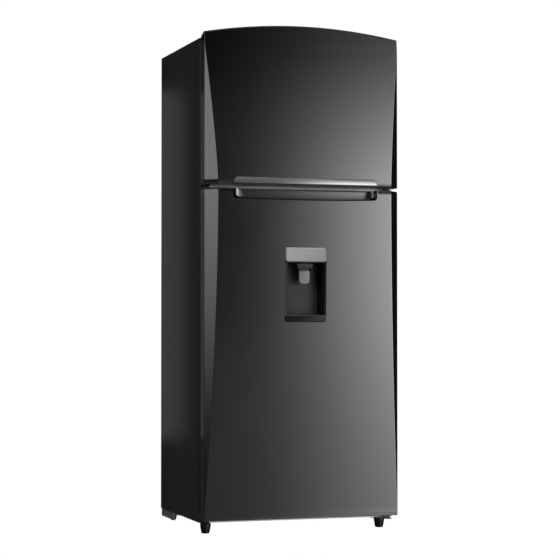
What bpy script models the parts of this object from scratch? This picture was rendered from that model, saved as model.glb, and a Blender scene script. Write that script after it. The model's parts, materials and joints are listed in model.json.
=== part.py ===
"""Top freezer refrigerator with a door water dispenser.

Units are metres, +Z is up, the doors face -Y, and the origin is on the floor
under the middle of the bounding box.
"""
import math

import bmesh
import bpy
from mathutils import Matrix, Vector

# ---------------------------------------------------------------- driving sizes
WIDTH = 0.700
HALF = WIDTH / 2
CABINET_DEPTH = 0.540
CABINET_BOTTOM = 0.040
CABINET_TOP = 1.697
SHEET = 0.0008          # painted steel sheet
GAP = 0.0003            # air between pieces that touch
PLASTIC = 0.0020        # moulded liner wall

DOOR_BACK = 0.0130      # distances ahead of the cabinet's front plane
DOOR_SIDE_FRONT = 0.0585
BULGE = 0.0400          # how far the front swells where the two doors meet
MIN_BULGE = 0.0012
FACET_RUN = 0.95        # corner facet's width per unit of bulge
TRIM_PROUD = 0.0025

FRIDGE_DOOR_BOTTOM = 0.0500
FRIDGE_DOOR_TOP = 1.1790
FREEZER_DOOR_BOTTOM = 1.1910
FREEZER_FLAT_ABOVE = 1.6800
ARCH_CROWN = 1.7450
ARCH_DROP = 0.2695      # crown falls by ARCH_DROP * x * x
DOOR_BACK_TOP = 1.7000
CREST_BACK = 0.0480

# the cabinet's front plane, placed so that the whole depth is centred on Y = 0
DEPTH = CABINET_DEPTH + DOOR_SIDE_FRONT + BULGE + TRIM_PROUD
FRONT = DEPTH / 2 - CABINET_DEPTH
BACK = DEPTH / 2

HINGE_X = HALF - 0.024
HINGE_AHEAD = 0.041
PIN_RADIUS = 0.0040
PIN_CLEARANCE = 0.0003

FREEZER_HALF = 0.290
FREEZER_FLOOR = 1.232
FREEZER_CEILING = 1.645
FRIDGE_HALF = 0.302
FRIDGE_FLOOR = 0.105
FRIDGE_CEILING = 1.150
CAVITY_DEPTH = 0.475
FREEZER_BOX = (FREEZER_HALF, FREEZER_FLOOR, FREEZER_CEILING)
FRIDGE_BOX = (FRIDGE_HALF, FRIDGE_FLOOR, FRIDGE_CEILING)
STEP_DEPTH = 0.312      # the fridge floor steps up over the machine room here
STEP_HEIGHT = 0.352
MACHINE_DEPTH = 0.350
MACHINE_TOP = 0.300

FLANGE = 0.034          # steel front flange around the cabinet
FLANGE_DROP = 0.030     # top sheet's front flange
RAIL_LOW = 1.158
RAIL_HIGH = 1.224
RAIL_SPAN = HALF - FLANGE - GAP
RAIL_FLANGE = 0.010
SWITCH_X = -0.3405
SWITCH_Z = 1.080
# flanges of the two liners: x0, z0, x1, z1
FREEZER_FLANGE = (-RAIL_SPAN, RAIL_HIGH + GAP, RAIL_SPAN, CABINET_TOP - FLANGE_DROP - GAP)
FRIDGE_FLANGE = (-RAIL_SPAN, CABINET_BOTTOM + FLANGE + GAP, RAIL_SPAN, RAIL_LOW - GAP)

FOOT_X = 0.318
FOOT_BACK = 0.040
ROLLER_X = 0.318
ROLLER_RADIUS = 0.020
ROLLER_FROM_BACK = 0.060

HANDLE_HALF = 0.2585
TRIM_TOP = 1.2155
TRIM_DROP = 0.0020      # the lip's grip plate hangs this far below the freezer door
GROOVE_HALF = 0.2450
GROOVE_START = 0.025    # distances behind the door's face
GROOVE_END = 0.047
POCKET_HALF = 0.2600
POCKET_FLOOR = 1.1440
POCKET_BOW = 0.0040
POCKET_DEPTH = 0.030
POCKET_END = 0.027

DISPENSER_HALF = 0.0745
DISPENSER_BOTTOM = 0.7240
DISPENSER_TOP = 0.9780
FASCIA_BOTTOM = 0.9285
RECESS_DEPTH = 0.055
VALVE_Z = DISPENSER_TOP - 0.030
LEVER_HALF = 0.0195
LEVER_AXLE = (0.022, 0.9045)                        # depth behind the face, height
LEVER_TOP = 0.9085
LEVER_BOTTOM = 0.8560
TANK = (-0.125, 0.125, 0.942, 1.085)                # x0, x1, z0, z1
TANK_REACH = 0.072

SHELF_HALF = FRIDGE_HALF - 0.006
CRISPER = (0.1250, 0.3020, 0.1120, 0.3300)          # front, back, bottom, top
CRISPER_HALF = 0.286
THERMOSTAT = (-0.095, 0.095, 0.150, 0.330, 1.102)   # x0, x1, front, back, bottom
KNOB_Z = 1.124
FAN_Z = 1.585
COMPRESSOR_X = -0.150
COMPRESSOR_Y = FRONT + 0.446
INLET_X = 0.270
INLET_Z = 0.100
INLET_HALF = 0.015

COLOURS = {
    "black_paint": ((0.012, 0.012, 0.013), 0.16, 0.0),
    "side_paint": ((0.030, 0.030, 0.031), 0.30, 0.0),
    "zinc": ((0.42, 0.43, 0.44), 0.35, 0.9),
    "liner_white": ((0.80, 0.81, 0.81), 0.35, 0.0),
    "foam": ((0.86, 0.79, 0.60), 0.90, 0.0),
    "black_plastic": ((0.015, 0.015, 0.016), 0.30, 0.0),
    "gasket_grey": ((0.10, 0.10, 0.105), 0.75, 0.0),
    "silver_trim": ((0.55, 0.56, 0.57), 0.30, 0.9),
    "clear_plastic": ((0.82, 0.88, 0.92), 0.10, 0.0),
    "shelf_glass": ((0.80, 0.90, 0.88), 0.05, 0.0),
    "aluminium": ((0.75, 0.76, 0.77), 0.35, 0.9),
    "compressor_black": ((0.02, 0.02, 0.022), 0.45, 0.3),
    "lever_grey": ((0.50, 0.51, 0.52), 0.35, 0.0),
}


# ------------------------------------------------------------------- foundations
def clear_scene():
    for obj in list(bpy.data.objects):
        bpy.data.objects.remove(obj, do_unlink=True)


def material(name):
    found = bpy.data.materials.get(name)
    if found:
        return found
    colour, roughness, metallic = COLOURS[name]
    made = bpy.data.materials.new(name)
    made.use_nodes = True
    shader = made.node_tree.nodes["Principled BSDF"]
    shader.inputs["Base Color"].default_value = (*colour, 1.0)
    shader.inputs["Roughness"].default_value = roughness
    shader.inputs["Metallic"].default_value = metallic
    return made


def make(name, bm, slot, smooth_angle=35.0):
    """Turn a bmesh into a finished object."""
    bm.normal_update()
    bmesh.ops.triangulate(bm, faces=bm.faces)
    bmesh.ops.recalc_face_normals(bm, faces=bm.faces)
    mesh = bpy.data.meshes.new(name)
    bm.to_mesh(mesh)
    bm.free()
    mesh.shade_smooth()
    mesh.set_sharp_from_angle(angle=math.radians(smooth_angle))
    obj = bpy.data.objects.new(name, mesh)
    bpy.context.scene.collection.objects.link(obj)
    mesh.materials.append(material(slot))
    return obj


def pivot(obj, point):
    """Move the object's origin to a point without moving its mesh."""
    point = Vector(point)
    obj.data.transform(Matrix.Translation(-point))
    obj.location = point
    return obj


def combine(obj, other, operation):
    """Cut or add a hidden helper, keeping it as a Boolean modifier."""
    other.hide_render = True
    other.display_type = "WIRE"
    step = obj.modifiers.new(operation.title() + " " + other.name, "BOOLEAN")
    step.operation = operation
    step.solver = "EXACT"
    step.object = other
    return obj


def cut(obj, *cutters):
    for cutter in cutters:
        combine(obj, cutter, "DIFFERENCE")
    return obj


def join(obj, *extras):
    for extra in extras:
        combine(obj, extra, "UNION")
    return obj


def ahead(distance):
    """Y of a plane this far ahead of the cabinet's front plane."""
    return FRONT - distance


def behind(distance):
    """Y of a plane this far behind the cabinet's front plane."""
    return FRONT + distance


# ----------------------------------------------------------------- shape builders
def box(low, high):
    bm = bmesh.new()
    bmesh.ops.create_cube(bm, size=1.0)
    for v in bm.verts:
        for i in range(3):
            v.co[i] = low[i] if v.co[i] < 0 else high[i]
    return bm


def loft(loops):
    """Closed body through loops of equal length, with a cap at each end."""
    bm = bmesh.new()
    rings = [[bm.verts.new(p) for p in loop] for loop in loops]
    for lower, upper in zip(rings, rings[1:]):
        for i in range(len(lower)):
            j = (i + 1) % len(lower)
            bm.faces.new((lower[i], lower[j], upper[j], upper[i]))
    bm.faces.new(reversed(rings[0]))
    bm.faces.new(rings[-1])
    return bm


def prism(outline, axis, low, high):
    """Extrude a 2-D outline along X, Y or Z."""
    def place(point, level):
        point = list(point)
        point.insert("XYZ".index(axis), level)
        return point
    return loft([[place(p, level) for p in outline] for level in (low, high)])


def arc(cx, cy, radius, start, end, steps):
    """Points along a circular arc, angles in degrees."""
    angles = [math.radians(start + (end - start) * i / steps) for i in range(steps + 1)]
    return [(cx + radius * math.cos(a), cy + radius * math.sin(a)) for a in angles]


def rounded_rectangle(x0, z0, x1, z1, radius, steps=3):
    return (
        arc(x1 - radius, z1 - radius, radius, 0, 90, steps)
        + arc(x0 + radius, z1 - radius, radius, 90, 180, steps)
        + arc(x0 + radius, z0 + radius, radius, 180, 270, steps)
        + arc(x1 - radius, z0 + radius, radius, 270, 360, steps)
    )


def shell(rings, axis, steps=3):
    """Closed body through rounded rectangles. A ring is (x0, z0, x1, z1, radius, level)."""
    loops = []
    for x0, z0, x1, z1, radius, level in rings:
        outline = rounded_rectangle(x0, z0, x1, z1, radius, steps)
        if axis == "Y":
            loops.append([(a, level, b) for a, b in outline])
        else:
            loops.append([(a, b, level) for a, b in outline])
    return loft(loops)


def turned(profile, centre, axis="Z", segments=20):
    """Turn (radius, height) points about an axis; both ends close on the axis."""
    loops = []
    for radius, height in profile:
        loop = []
        for i in range(segments):
            a = 2 * math.pi * i / segments
            u, v = radius * math.cos(a), radius * math.sin(a)
            local = {"Z": (u, v, height), "X": (height, u, v), "Y": (u, height, v)}[axis]
            loop.append(Vector(local) + Vector(centre))
        loops.append(loop)
    return loft(loops)


def rod(centre, radius, low, high, axis="Z", segments=16):
    return turned([(radius, low), (radius, high)], centre, axis, segments)


def tray(x0, y0, x1, y1, z0, z1, wall, radius=0.012, draft=0.0):
    """Open-topped container whose rim is at z1; draft narrows its floor."""
    r_in = max(radius - wall, 0.002)
    return shell(
        [
            (x0 + draft, y0 + draft, x1 - draft, y1 - draft, radius, z0),
            (x0, y0, x1, y1, radius, z1),
            (x0 + wall, y0 + wall, x1 - wall, y1 - wall, r_in, z1),
            (
                x0 + draft + wall, y0 + draft + wall, x1 - draft - wall, y1 - draft - wall,
                r_in, z0 + wall,
            ),
        ],
        "Z",
    )


# ------------------------------------------------------------------ door surfaces
def bulge(z):
    """How far the door front stands ahead of its straight side edges."""
    if z > (FRIDGE_DOOR_TOP + FREEZER_DOOR_BOTTOM) / 2:
        t = (z - FREEZER_DOOR_BOTTOM) / (FREEZER_FLAT_ABOVE - FREEZER_DOOR_BOTTOM)
        power = 1.30
    else:
        t = (FRIDGE_DOOR_TOP - z) / (FRIDGE_DOOR_TOP - FRIDGE_DOOR_BOTTOM)
        power = 1.78
    t = min(max(t, 0.0), 1.0)
    return max(BULGE * (1.0 - t**power), MIN_BULGE)


def arch(x):
    return ARCH_CROWN - ARCH_DROP * x * x


def door_outline(z, inset, back):
    """Six plan points of the door at height z, moved inwards by inset."""
    b = bulge(z)
    side = HALF - inset
    knee = DOOR_SIDE_FRONT - 0.414 * inset
    run = HALF - FACET_RUN * b - 0.414 * inset
    face = DOOR_SIDE_FRONT + b - inset
    return [
        (-side, ahead(back)), (-side, ahead(knee)), (-run, ahead(face)),
        (run, ahead(face)), (side, ahead(knee)), (side, ahead(back)),
    ]


def door_block(levels, inset, back):
    return loft([[(x, y, z) for x, y in door_outline(z, inset, back)] for z in levels])


def door_skin(levels):
    """Sheet steel wrapper: front, corner facets and sides, open at the back."""
    loops = []
    for z in levels:
        outer = door_outline(z, 0.0, DOOR_BACK)
        inner = door_outline(z, SHEET, DOOR_BACK)
        loops.append([(x, y, z) for x, y in outer + inner[::-1]])
    return loft(loops)


def levels_between(low, high, count):
    return [low + (high - low) * i / count for i in range(count + 1)]


def door_pin_hole(name, low, high):
    return make(
        name,
        rod((HINGE_X, ahead(HINGE_AHEAD), 0), PIN_RADIUS + PIN_CLEARANCE, low, high),
        "zinc",
    )


# ------------------------------------------------------------------- cabinet shell
def side_panel(name, sign):
    """Side sheet with a front flange, a rear flange and open ends."""
    rear = 0.014
    outer = [
        (HALF - FLANGE, behind(0)), (HALF, behind(0)), (HALF, BACK), (HALF - rear, BACK),
    ]
    inner = [
        (HALF - rear, BACK - SHEET), (HALF - SHEET, BACK - SHEET),
        (HALF - SHEET, behind(SHEET)), (HALF - FLANGE, behind(SHEET)),
    ]
    outline = [(sign * x, y) for x, y in outer + inner]
    panel = make(name, prism(outline, "Z", CABINET_BOTTOM, CABINET_TOP), "side_paint")
    if sign < 0:
        hole = rod((SWITCH_X, 0, SWITCH_Z), 0.0045, behind(-0.01), behind(0.005), "Y")
        cut(panel, make("switch_hole", hole, "zinc"))
    return panel


def top_panel():
    """Top sheet with down-turned front and rear flanges, between the sides."""
    high = CABINET_TOP
    low = CABINET_TOP - SHEET
    front, back = behind(SHEET + GAP), BACK - SHEET - GAP
    outline = [
        (front, high), (back, high), (back, high - 0.014), (back - SHEET, high - 0.014),
        (back - SHEET, low), (front + SHEET, low),
        (front + SHEET, high - FLANGE_DROP), (front, high - FLANGE_DROP),
    ]
    span = HALF - SHEET - GAP
    return make("top_panel", prism(outline, "X", -span, span), "side_paint")


def rear_panel():
    """Back sheet, slipped in ahead of the side flanges, with two swaged channels."""
    span = HALF - SHEET - GAP
    y1 = BACK - 2 * SHEET - 2 * GAP
    y0 = y1 - SHEET
    swage = 0.004
    crest = []
    for centre in (-0.17, 0.17):
        crest += [(centre - 0.02, 0), (centre - 0.014, 1), (centre + 0.014, 1), (centre + 0.02, 0)]
    near = [(-span, y0)] + [(x, y0 - swage * s) for x, s in crest] + [(span, y0)]
    far = [(-span, y1)] + [(x, y1 - swage * s) for x, s in crest] + [(span, y1)]
    return make(
        "rear_panel", prism(near + far[::-1], "Z", MACHINE_TOP + 0.002, CABINET_TOP - 0.016), "zinc"
    )


def base_plate():
    """Floor sheet with an upturned front flange, stepped over the machine room."""
    t = 0.0010
    low, lip = CABINET_BOTTOM, CABINET_BOTTOM + FLANGE
    front = behind(SHEET + GAP)
    wall, top = behind(MACHINE_DEPTH), MACHINE_TOP
    back = BACK - 0.004
    outline = [
        (front, low), (wall, low), (wall, top - t), (back, top - t), (back, top),
        (wall - t, top), (wall - t, low + t), (front + t, low + t), (front + t, lip), (front, lip),
    ]
    span = HALF - SHEET - GAP
    plate = make("base_plate", prism(outline, "X", -span, span), "zinc")
    for side, sign in (("left", -1), ("right", 1)):
        at = (sign * FOOT_X, behind(FOOT_BACK), 0)
        cut(plate, make("foot_hole_" + side, rod(at, 0.0053, low - 0.01, low + 0.02), "zinc"))
    return plate


def liner_rings(half, floor, ceiling, grow, step):
    """Rings of a compartment, grown outwards, from the front plane to the back wall."""
    radius = 0.018
    rings = []
    depths = [(SHEET if grow else 0.0, floor)]
    if step:
        depths += [(STEP_DEPTH + grow, floor), (STEP_DEPTH + grow, STEP_HEIGHT)]
    depths += [(CAVITY_DEPTH + grow, STEP_HEIGHT if step else floor)]
    for i, (depth, low) in enumerate(depths):
        taper = 0.0015 * i
        side = half + grow - taper
        rings.append(
            (-side, low - grow + taper, side, ceiling + grow - taper, radius + grow, behind(depth))
        )
    return rings


def liner(name, half, floor, ceiling, flange, step):
    """Thin moulded compartment, open at the front, with a flat front flange."""
    inner = liner_rings(half, floor, ceiling, 0.0, step)[::-1]
    outer = liner_rings(half, floor, ceiling, PLASTIC, step)
    x0, z0, x1, z1 = flange
    y0, y1 = behind(0), behind(PLASTIC)
    outer[0] = outer[0][:5] + (y1,)
    rings = inner + [(x0, z0, x1, z1, 0.004, y0), (x0, z0, x1, z1, 0.004, y1)] + outer
    return make(name, shell(rings, "Y"), "liner_white")


def liner_plug(name, half, floor, ceiling, flange, step):
    """Space that a liner and its flange need inside the foam."""
    outer = liner_rings(half, floor, ceiling, PLASTIC + GAP, step)
    x0, z0, x1, z1 = flange
    g = GAP
    y1 = behind(PLASTIC + GAP)
    outer[0] = outer[0][:5] + (y1,)
    rim = (x0 - g, z0 - g, x1 + g, z1 + g, 0.004 + g)
    return make(name, shell([rim + (behind(-0.01),), rim + (y1,)] + outer, "Y"), "foam")


def cabinet_foam():
    """Insulation block with both compartments and the machine room cut out."""
    span = HALF - SHEET - 2 * GAP
    low = CABINET_BOTTOM + 0.0010 + GAP
    wall = behind(MACHINE_DEPTH) - 0.0010 - GAP
    front = behind(SHEET + 0.0010 + 3 * GAP)
    back = BACK - 3 * SHEET - 3 * GAP - 0.004
    high = CABINET_TOP - SHEET - GAP
    outline = [
        (front, low), (wall, low), (wall, MACHINE_TOP + GAP), (back, MACHINE_TOP + GAP),
        (back, high), (front, high),
    ]
    foam = make("cabinet_foam", prism(outline, "X", -span, span), "foam")
    switch_space = rod((SWITCH_X, 0, SWITCH_Z), 0.0078, behind(-0.014), behind(0.030), "Y")
    rail_space = box(
        (-RAIL_SPAN - 0.001, behind(-0.012), RAIL_LOW - 0.001),
        (RAIL_SPAN + 0.001, behind(RAIL_FLANGE + GAP), RAIL_HIGH + 0.001),
    )
    cut(
        foam,
        liner_plug("freezer_plug", *FREEZER_BOX, FREEZER_FLANGE, False),
        liner_plug("fridge_plug", *FRIDGE_BOX, FRIDGE_FLANGE, True),
        make("switch_pocket", switch_space, "foam"),
        make("rail_pocket", rail_space, "foam"),
    )
    for side, sign in (("left", -1), ("right", 1)):
        at = (sign * FOOT_X, behind(FOOT_BACK), 0)
        cut(foam, make("stem_space_" + side, rod(at, 0.008, 0.03, 0.064), "foam"))
    return foam


def centre_rail():
    """Pressed rail across the front between the compartments, with two flanges."""
    t = 0.0010
    slope = 0.0004
    stack = [
        (RAIL_FLANGE, RAIL_LOW), (RAIL_FLANGE, RAIL_LOW + t), (t, RAIL_LOW + t + slope),
        (t, RAIL_HIGH - t - slope), (RAIL_FLANGE, RAIL_HIGH - t), (RAIL_FLANGE, RAIL_HIGH),
    ]
    loops = []
    for deep, z in stack:
        corners = [
            (-RAIL_SPAN, behind(0)), (RAIL_SPAN, behind(0)),
            (RAIL_SPAN, behind(deep)), (-RAIL_SPAN, behind(deep)),
        ]
        loops.append([(x, y, z) for x, y in corners])
    return make("centre_rail", loft(loops), "silver_trim")


def door_switch():
    """Sprung plunger of the interior light switch."""
    profile = [
        (0.0020, -0.0104), (0.0038, -0.0088), (0.0038, 0.0022),
        (0.0065, 0.0022), (0.0065, 0.0200),
    ]
    plunger = turned(profile, (SWITCH_X, FRONT, SWITCH_Z), "Y", 16)
    return pivot(make("door_switch", plunger, "black_plastic"), (SWITCH_X, FRONT, SWITCH_Z))


# ------------------------------------------------------------------------- hinges
def pin(name, low, high):
    return make(name, rod((HINGE_X, ahead(HINGE_AHEAD), 0), PIN_RADIUS, low, high), "zinc")


def hinge_plate(name, low, high, outline):
    """Flat hinge bracket; outline points are measured from the pin, +Y towards the back."""
    points = [(HINGE_X + x, ahead(HINGE_AHEAD) + y) for x, y in outline]
    return make(name, prism(points, "Z", low, high), "zinc")


def top_hinge():
    outline = arc(0, 0, 0.0085, 180, 360, 8) + [
        (-0.004, 0.030), (-0.004, 0.045), (0.014, 0.055), (0.014, 0.100),
        (-0.060, 0.100), (-0.060, 0.050),
    ]
    plate = hinge_plate("top_hinge", 1.6975, 1.7005, outline)
    return join(plate, pin("top_pin", 1.6850, 1.6990))


def top_hinge_cover():
    """Moulded cap over the top hinge, open underneath."""
    x0, x1 = HINGE_X - 0.066, HALF - 0.004
    y0, y1 = behind(0.004), behind(0.072)
    low, high, wall = 1.7009, 1.7165, 0.002
    rings = [
        (x0 + 0.004, y0 + 0.004, x1 - 0.004, y1 - 0.004, 0.006, high),
        (x0, y0, x1, y1, 0.008, high - 0.004),
        (x0, y0, x1, y1, 0.008, low),
        (x0 + wall, y0 + wall, x1 - wall, y1 - wall, 0.006, low),
        (x0 + wall, y0 + wall, x1 - wall, y1 - wall, 0.006, high - 0.006),
    ]
    return make("top_hinge_cover", shell(rings, "Z"), "black_plastic")


def middle_hinge():
    outline = arc(0, 0, 0.0085, 180, 360, 8) + [
        (0.010, HINGE_AHEAD - GAP), (-0.038, HINGE_AHEAD - GAP),
    ]
    plate = hinge_plate("middle_hinge", 1.1835, 1.1865, outline)
    return join(plate, pin("middle_pin", 1.1655, 1.2045))


def bottom_hinge():
    outline = arc(0, 0, 0.0085, 180, 360, 8) + [(0.014, 0.058), (-0.050, 0.058)]
    plate = hinge_plate("bottom_hinge", 0.0365, 0.0395, outline)
    return join(plate, pin("bottom_pin", 0.0380, 0.0605))


# --------------------------------------------------------------------- the doors
def top_cutter(name, drop):
    """Everything above the door's crest: arch in front, slope down to the back."""
    stations = levels_between(-HALF - 0.01, HALF + 0.01, 18)
    loops = []
    for x in stations:
        crest = arch(x) - drop
        back = DOOR_BACK_TOP - drop
        loops.append([
            (x, ahead(0.000), back - 0.004), (x, ahead(DOOR_BACK), back),
            (x, ahead(CREST_BACK), crest), (x, ahead(0.120), crest),
            (x, ahead(0.120), 1.80), (x, ahead(0.000), 1.80),
        ])
    return make(name, loft(loops), "zinc")


def hinge_notch(name, grow):
    """Pocket at the top right corner that clears the top hinge arm."""
    low = (0.284 - grow, ahead(0.0555 + grow), 1.6962 - grow)
    high = (HALF + 0.01, ahead(0.0), 1.80)
    return make(name, box(low, high), "zinc")


def freezer_door_panel():
    levels = levels_between(FREEZER_DOOR_BOTTOM, FREEZER_FLAT_ABOVE, 7) + [1.76]
    panel = make("freezer_door_panel", door_skin(levels), "black_paint")
    return cut(panel, top_cutter("panel_top", 0.0), hinge_notch("panel_notch", 0.0))


def freezer_door_top_cap():
    levels = [1.680, 1.76]
    cap = make("freezer_door_top_cap", door_block(levels, SHEET + GAP, 0.0151), "black_plastic")
    return cut(
        cap, top_cutter("cap_top", 0.0004), hinge_notch("cap_notch", 0.0),
        door_pin_hole("top_pin_hole", 1.6835, 1.71),
    )


def finger_groove(name, grow):
    """Upward groove behind the freezer door's bottom lip."""
    face = DOOR_SIDE_FRONT + BULGE
    y0, y1 = ahead(face - GROOVE_START + grow), ahead(face - GROOVE_END - grow)
    half = GROOVE_HALF + grow
    rings = [
        (-half, y0, half, y1, 0.008, 1.18), (-half, y0, half, y1, 0.008, 1.2120 + grow),
    ]
    return make(name, shell(rings, "Z"), "foam")


def freezer_door_bottom_cap():
    low = FREEZER_DOOR_BOTTOM + GAP
    cap = make(
        "freezer_door_bottom_cap", door_block([low, 1.206], SHEET + GAP, 0.0151), "black_plastic"
    )
    well = finger_groove("groove_walls", 0.0015)
    join(cap, cut(well, make("well_trim", box((-0.4, -1, 1.1), (0.4, 1, low)), "foam")))
    return cut(
        cap, finger_groove("groove_space", 0.0), door_pin_hole("freezer_low_hole", 1.19, 1.2075)
    )


def freezer_door_foam():
    levels = [1.2063] + levels_between(FREEZER_DOOR_BOTTOM, FREEZER_FLAT_ABOVE, 7)[1:-1] + [1.6797]
    foam = make("freezer_door_foam", door_block(levels, SHEET + GAP, 0.0151), "foam")
    return cut(foam, finger_groove("foam_groove", 0.0018))


def handle_trim():
    """Silver lip on the freezer door: front plate and the grip under the door edge."""
    face = DOOR_SIDE_FRONT + BULGE
    low, radius = FREEZER_DOOR_BOTTOM - TRIM_DROP, 0.017
    h = HANDLE_HALF
    outline = (
        [(h, low)] + arc(h - radius, TRIM_TOP - radius, radius, 0, 90, 6)
        + arc(-h + radius, TRIM_TOP - radius, radius, 90, 180, 6) + [(-h, low)]
    )
    slope = 0.0008
    loops = []
    for level, tilt in ((face + TRIM_PROUD, 0), (face + 0.0003, 0)):
        loops.append([
            (x, ahead(level - slope * (z - low) / (TRIM_TOP - low)), z) for x, z in outline
        ])
    trim = make("handle_trim", loft(loops), "silver_trim")
    grip = box(
        (-h, ahead(face + 0.001), low), (h, ahead(face - 0.0225), FREEZER_DOOR_BOTTOM - 0.0005)
    )
    return join(trim, make("grip_plate", grip, "silver_trim"))


def pocket(name, grow, forward):
    """Scooped hand pocket at the fridge door's top edge, as a closed solid."""
    face = DOOR_SIDE_FRONT + BULGE
    loops = []
    for t in (-1, 0.0, 0.35, 0.7, 1.0):
        curve = 1 - math.sqrt(max(0.0, 1 - max(t, 0.0) ** 2))
        half = POCKET_HALF - POCKET_END * curve + grow
        floor = POCKET_FLOOR + 0.006 * curve - grow
        depth = forward if t < 0 else -(POCKET_DEPTH + grow) * t
        radius = 0.012
        bow = [
            (half * s, floor - POCKET_BOW * (1 - s * s)) for s in (0.6, 0.3, 0.0, -0.3, -0.6)
        ]
        outline = (
            [(half, 1.19)] + arc(half - radius, floor + radius, radius, 0, -90, 4) + bow
            + arc(-half + radius, floor + radius, radius, -90, -180, 4) + [(-half, 1.19)]
        )
        loops.append([(x, ahead(face + depth), z) for x, z in outline])
    return make(name, loft(loops), "black_plastic")


def fridge_door_panel():
    levels = levels_between(FRIDGE_DOOR_BOTTOM, FRIDGE_DOOR_TOP, 12)
    panel = make("fridge_door_panel", door_skin(levels), "black_paint")
    return cut(
        panel, pocket("panel_pocket", 0.0028, 0.02), dispenser_opening("panel_opening", GAP)
    )


def fridge_door_top_cap():
    """End cap that also forms the hand pocket."""
    high = FRIDGE_DOOR_TOP - GAP
    cap = make(
        "fridge_door_top_cap", door_block([1.162, high], SHEET + GAP, 0.0151), "black_plastic"
    )
    walls = pocket("pocket_walls", 0.0025, 0.0004)
    cut(walls, make("pocket_trim", box((-0.4, -1, high), (0.4, 1, 1.3)), "foam"))
    join(cap, walls)
    return cut(cap, pocket("pocket_space", 0.0, 0.02), door_pin_hole("fridge_top_hole", 1.16, 1.18))


def fridge_door_bottom_cap():
    low = FRIDGE_DOOR_BOTTOM + GAP
    cap = make(
        "fridge_door_bottom_cap", door_block([low, 0.062], SHEET + GAP, 0.0151), "black_plastic"
    )
    return cut(cap, door_pin_hole("fridge_low_hole", 0.04, 0.07))


def fridge_door_foam():
    inner = levels_between(FRIDGE_DOOR_BOTTOM, FRIDGE_DOOR_TOP, 12)[1:-1]
    foam = make(
        "fridge_door_foam", door_block([0.0623] + inner + [1.1617], SHEET + GAP, 0.0151), "foam"
    )
    return cut(
        foam, pocket("foam_pocket", 0.0028, 0.02), dispenser_opening("foam_opening", GAP),
        valve_bore("foam_bore", 0.0110),
    )


def door_liner(name, low, high, dyke_half, dyke_low, dyke_high):
    """Inner door moulding: flat plate with a rim that reaches into the compartment."""
    edge = HALF - SHEET - GAP
    plate = ahead(DOOR_BACK + 0.0018)
    rim = behind(0.024)

    def dyke(inset, radius, level):
        return (
            -dyke_half + inset, dyke_low + inset, dyke_half - inset, dyke_high - inset,
            radius, level,
        )
    rings = [
        (-edge, low, edge, high, 0.003, plate),
        (-edge, low, edge, high, 0.003, ahead(DOOR_BACK)),
        dyke(0.000, 0.016, ahead(DOOR_BACK - 0.0001)),
        dyke(0.002, 0.014, rim),
        dyke(0.006, 0.010, rim),
        dyke(0.007, 0.010, ahead(DOOR_BACK)),
    ]
    return make(name, shell(rings, "Y"), "liner_white")


def gasket(name, low, high):
    """Magnetic seal: a rectangular rubber ring on the door's inner face."""
    outer, wide = HALF - 0.0185, 0.010
    near, far = ahead(0.0126), ahead(0.0005)
    lip = 0.0015
    loops = []
    for inset, level in ((0, near), (lip, far), (wide - lip, far), (wide, near)):
        outline = rounded_rectangle(
            -outer + inset, low + inset, outer - inset, high - inset, 0.006, 2
        )
        loops.append([(x, level, z) for x, z in outline])
    bm = bmesh.new()
    rings = [[bm.verts.new(p) for p in loop] for loop in loops]
    for a, b in zip(rings, rings[1:] + rings[:1]):
        for i in range(len(a)):
            j = (i + 1) % len(a)
            bm.faces.new((a[i], a[j], b[j], b[i]))
    return make(name, bm, "gasket_grey")


def door_bin(name, half, low, high, reach):
    """Bin that hangs inside the door liner's rim."""
    bm = tray(
        -half, ahead(0.0122), half, ahead(-reach), low, high, 0.002, radius=0.012, draft=0.003
    )
    return make(name, bm, "clear_plastic")


# --------------------------------------------------------------- water dispenser
# Its own frame: origin on the door face at the recess's middle height, tilted with the face.
DISPENSER_MIDDLE = (DISPENSER_BOTTOM + DISPENSER_TOP) / 2
FACE_SLOPE = math.atan2(
    bulge(DISPENSER_TOP) - bulge(DISPENSER_BOTTOM), DISPENSER_TOP - DISPENSER_BOTTOM
)
FACE_AHEAD = DOOR_SIDE_FRONT + (bulge(DISPENSER_TOP) + bulge(DISPENSER_BOTTOM)) / 2
TILT = (
    Matrix.Translation((0, ahead(FACE_AHEAD), DISPENSER_MIDDLE))
    @ Matrix.Rotation(FACE_SLOPE, 4, "X")
)


def in_dispenser(bm):
    """Move a shape from the dispenser's frame, X across, -Y out of the door, Z up from the middle."""
    bmesh.ops.transform(bm, matrix=TILT, verts=bm.verts)
    return bm


def dz(z):
    return z - DISPENSER_MIDDLE


def dispenser_opening(name, grow):
    h = DISPENSER_HALF + grow
    low, high = dz(DISPENSER_BOTTOM) - grow, dz(DISPENSER_TOP) + grow
    rings = [
        (-h, low, h, high, 0.009 + grow, -0.03), (-h, low, h, high, 0.009 + grow, 0.0595 + grow),
    ]
    return make(name, in_dispenser(shell(rings, "Y")), "foam")


def valve_bore(name, radius):
    return make(name, rod((0, 0, VALVE_Z), radius, ahead(0.075), ahead(0.0), "Y", 20), "foam")


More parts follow.
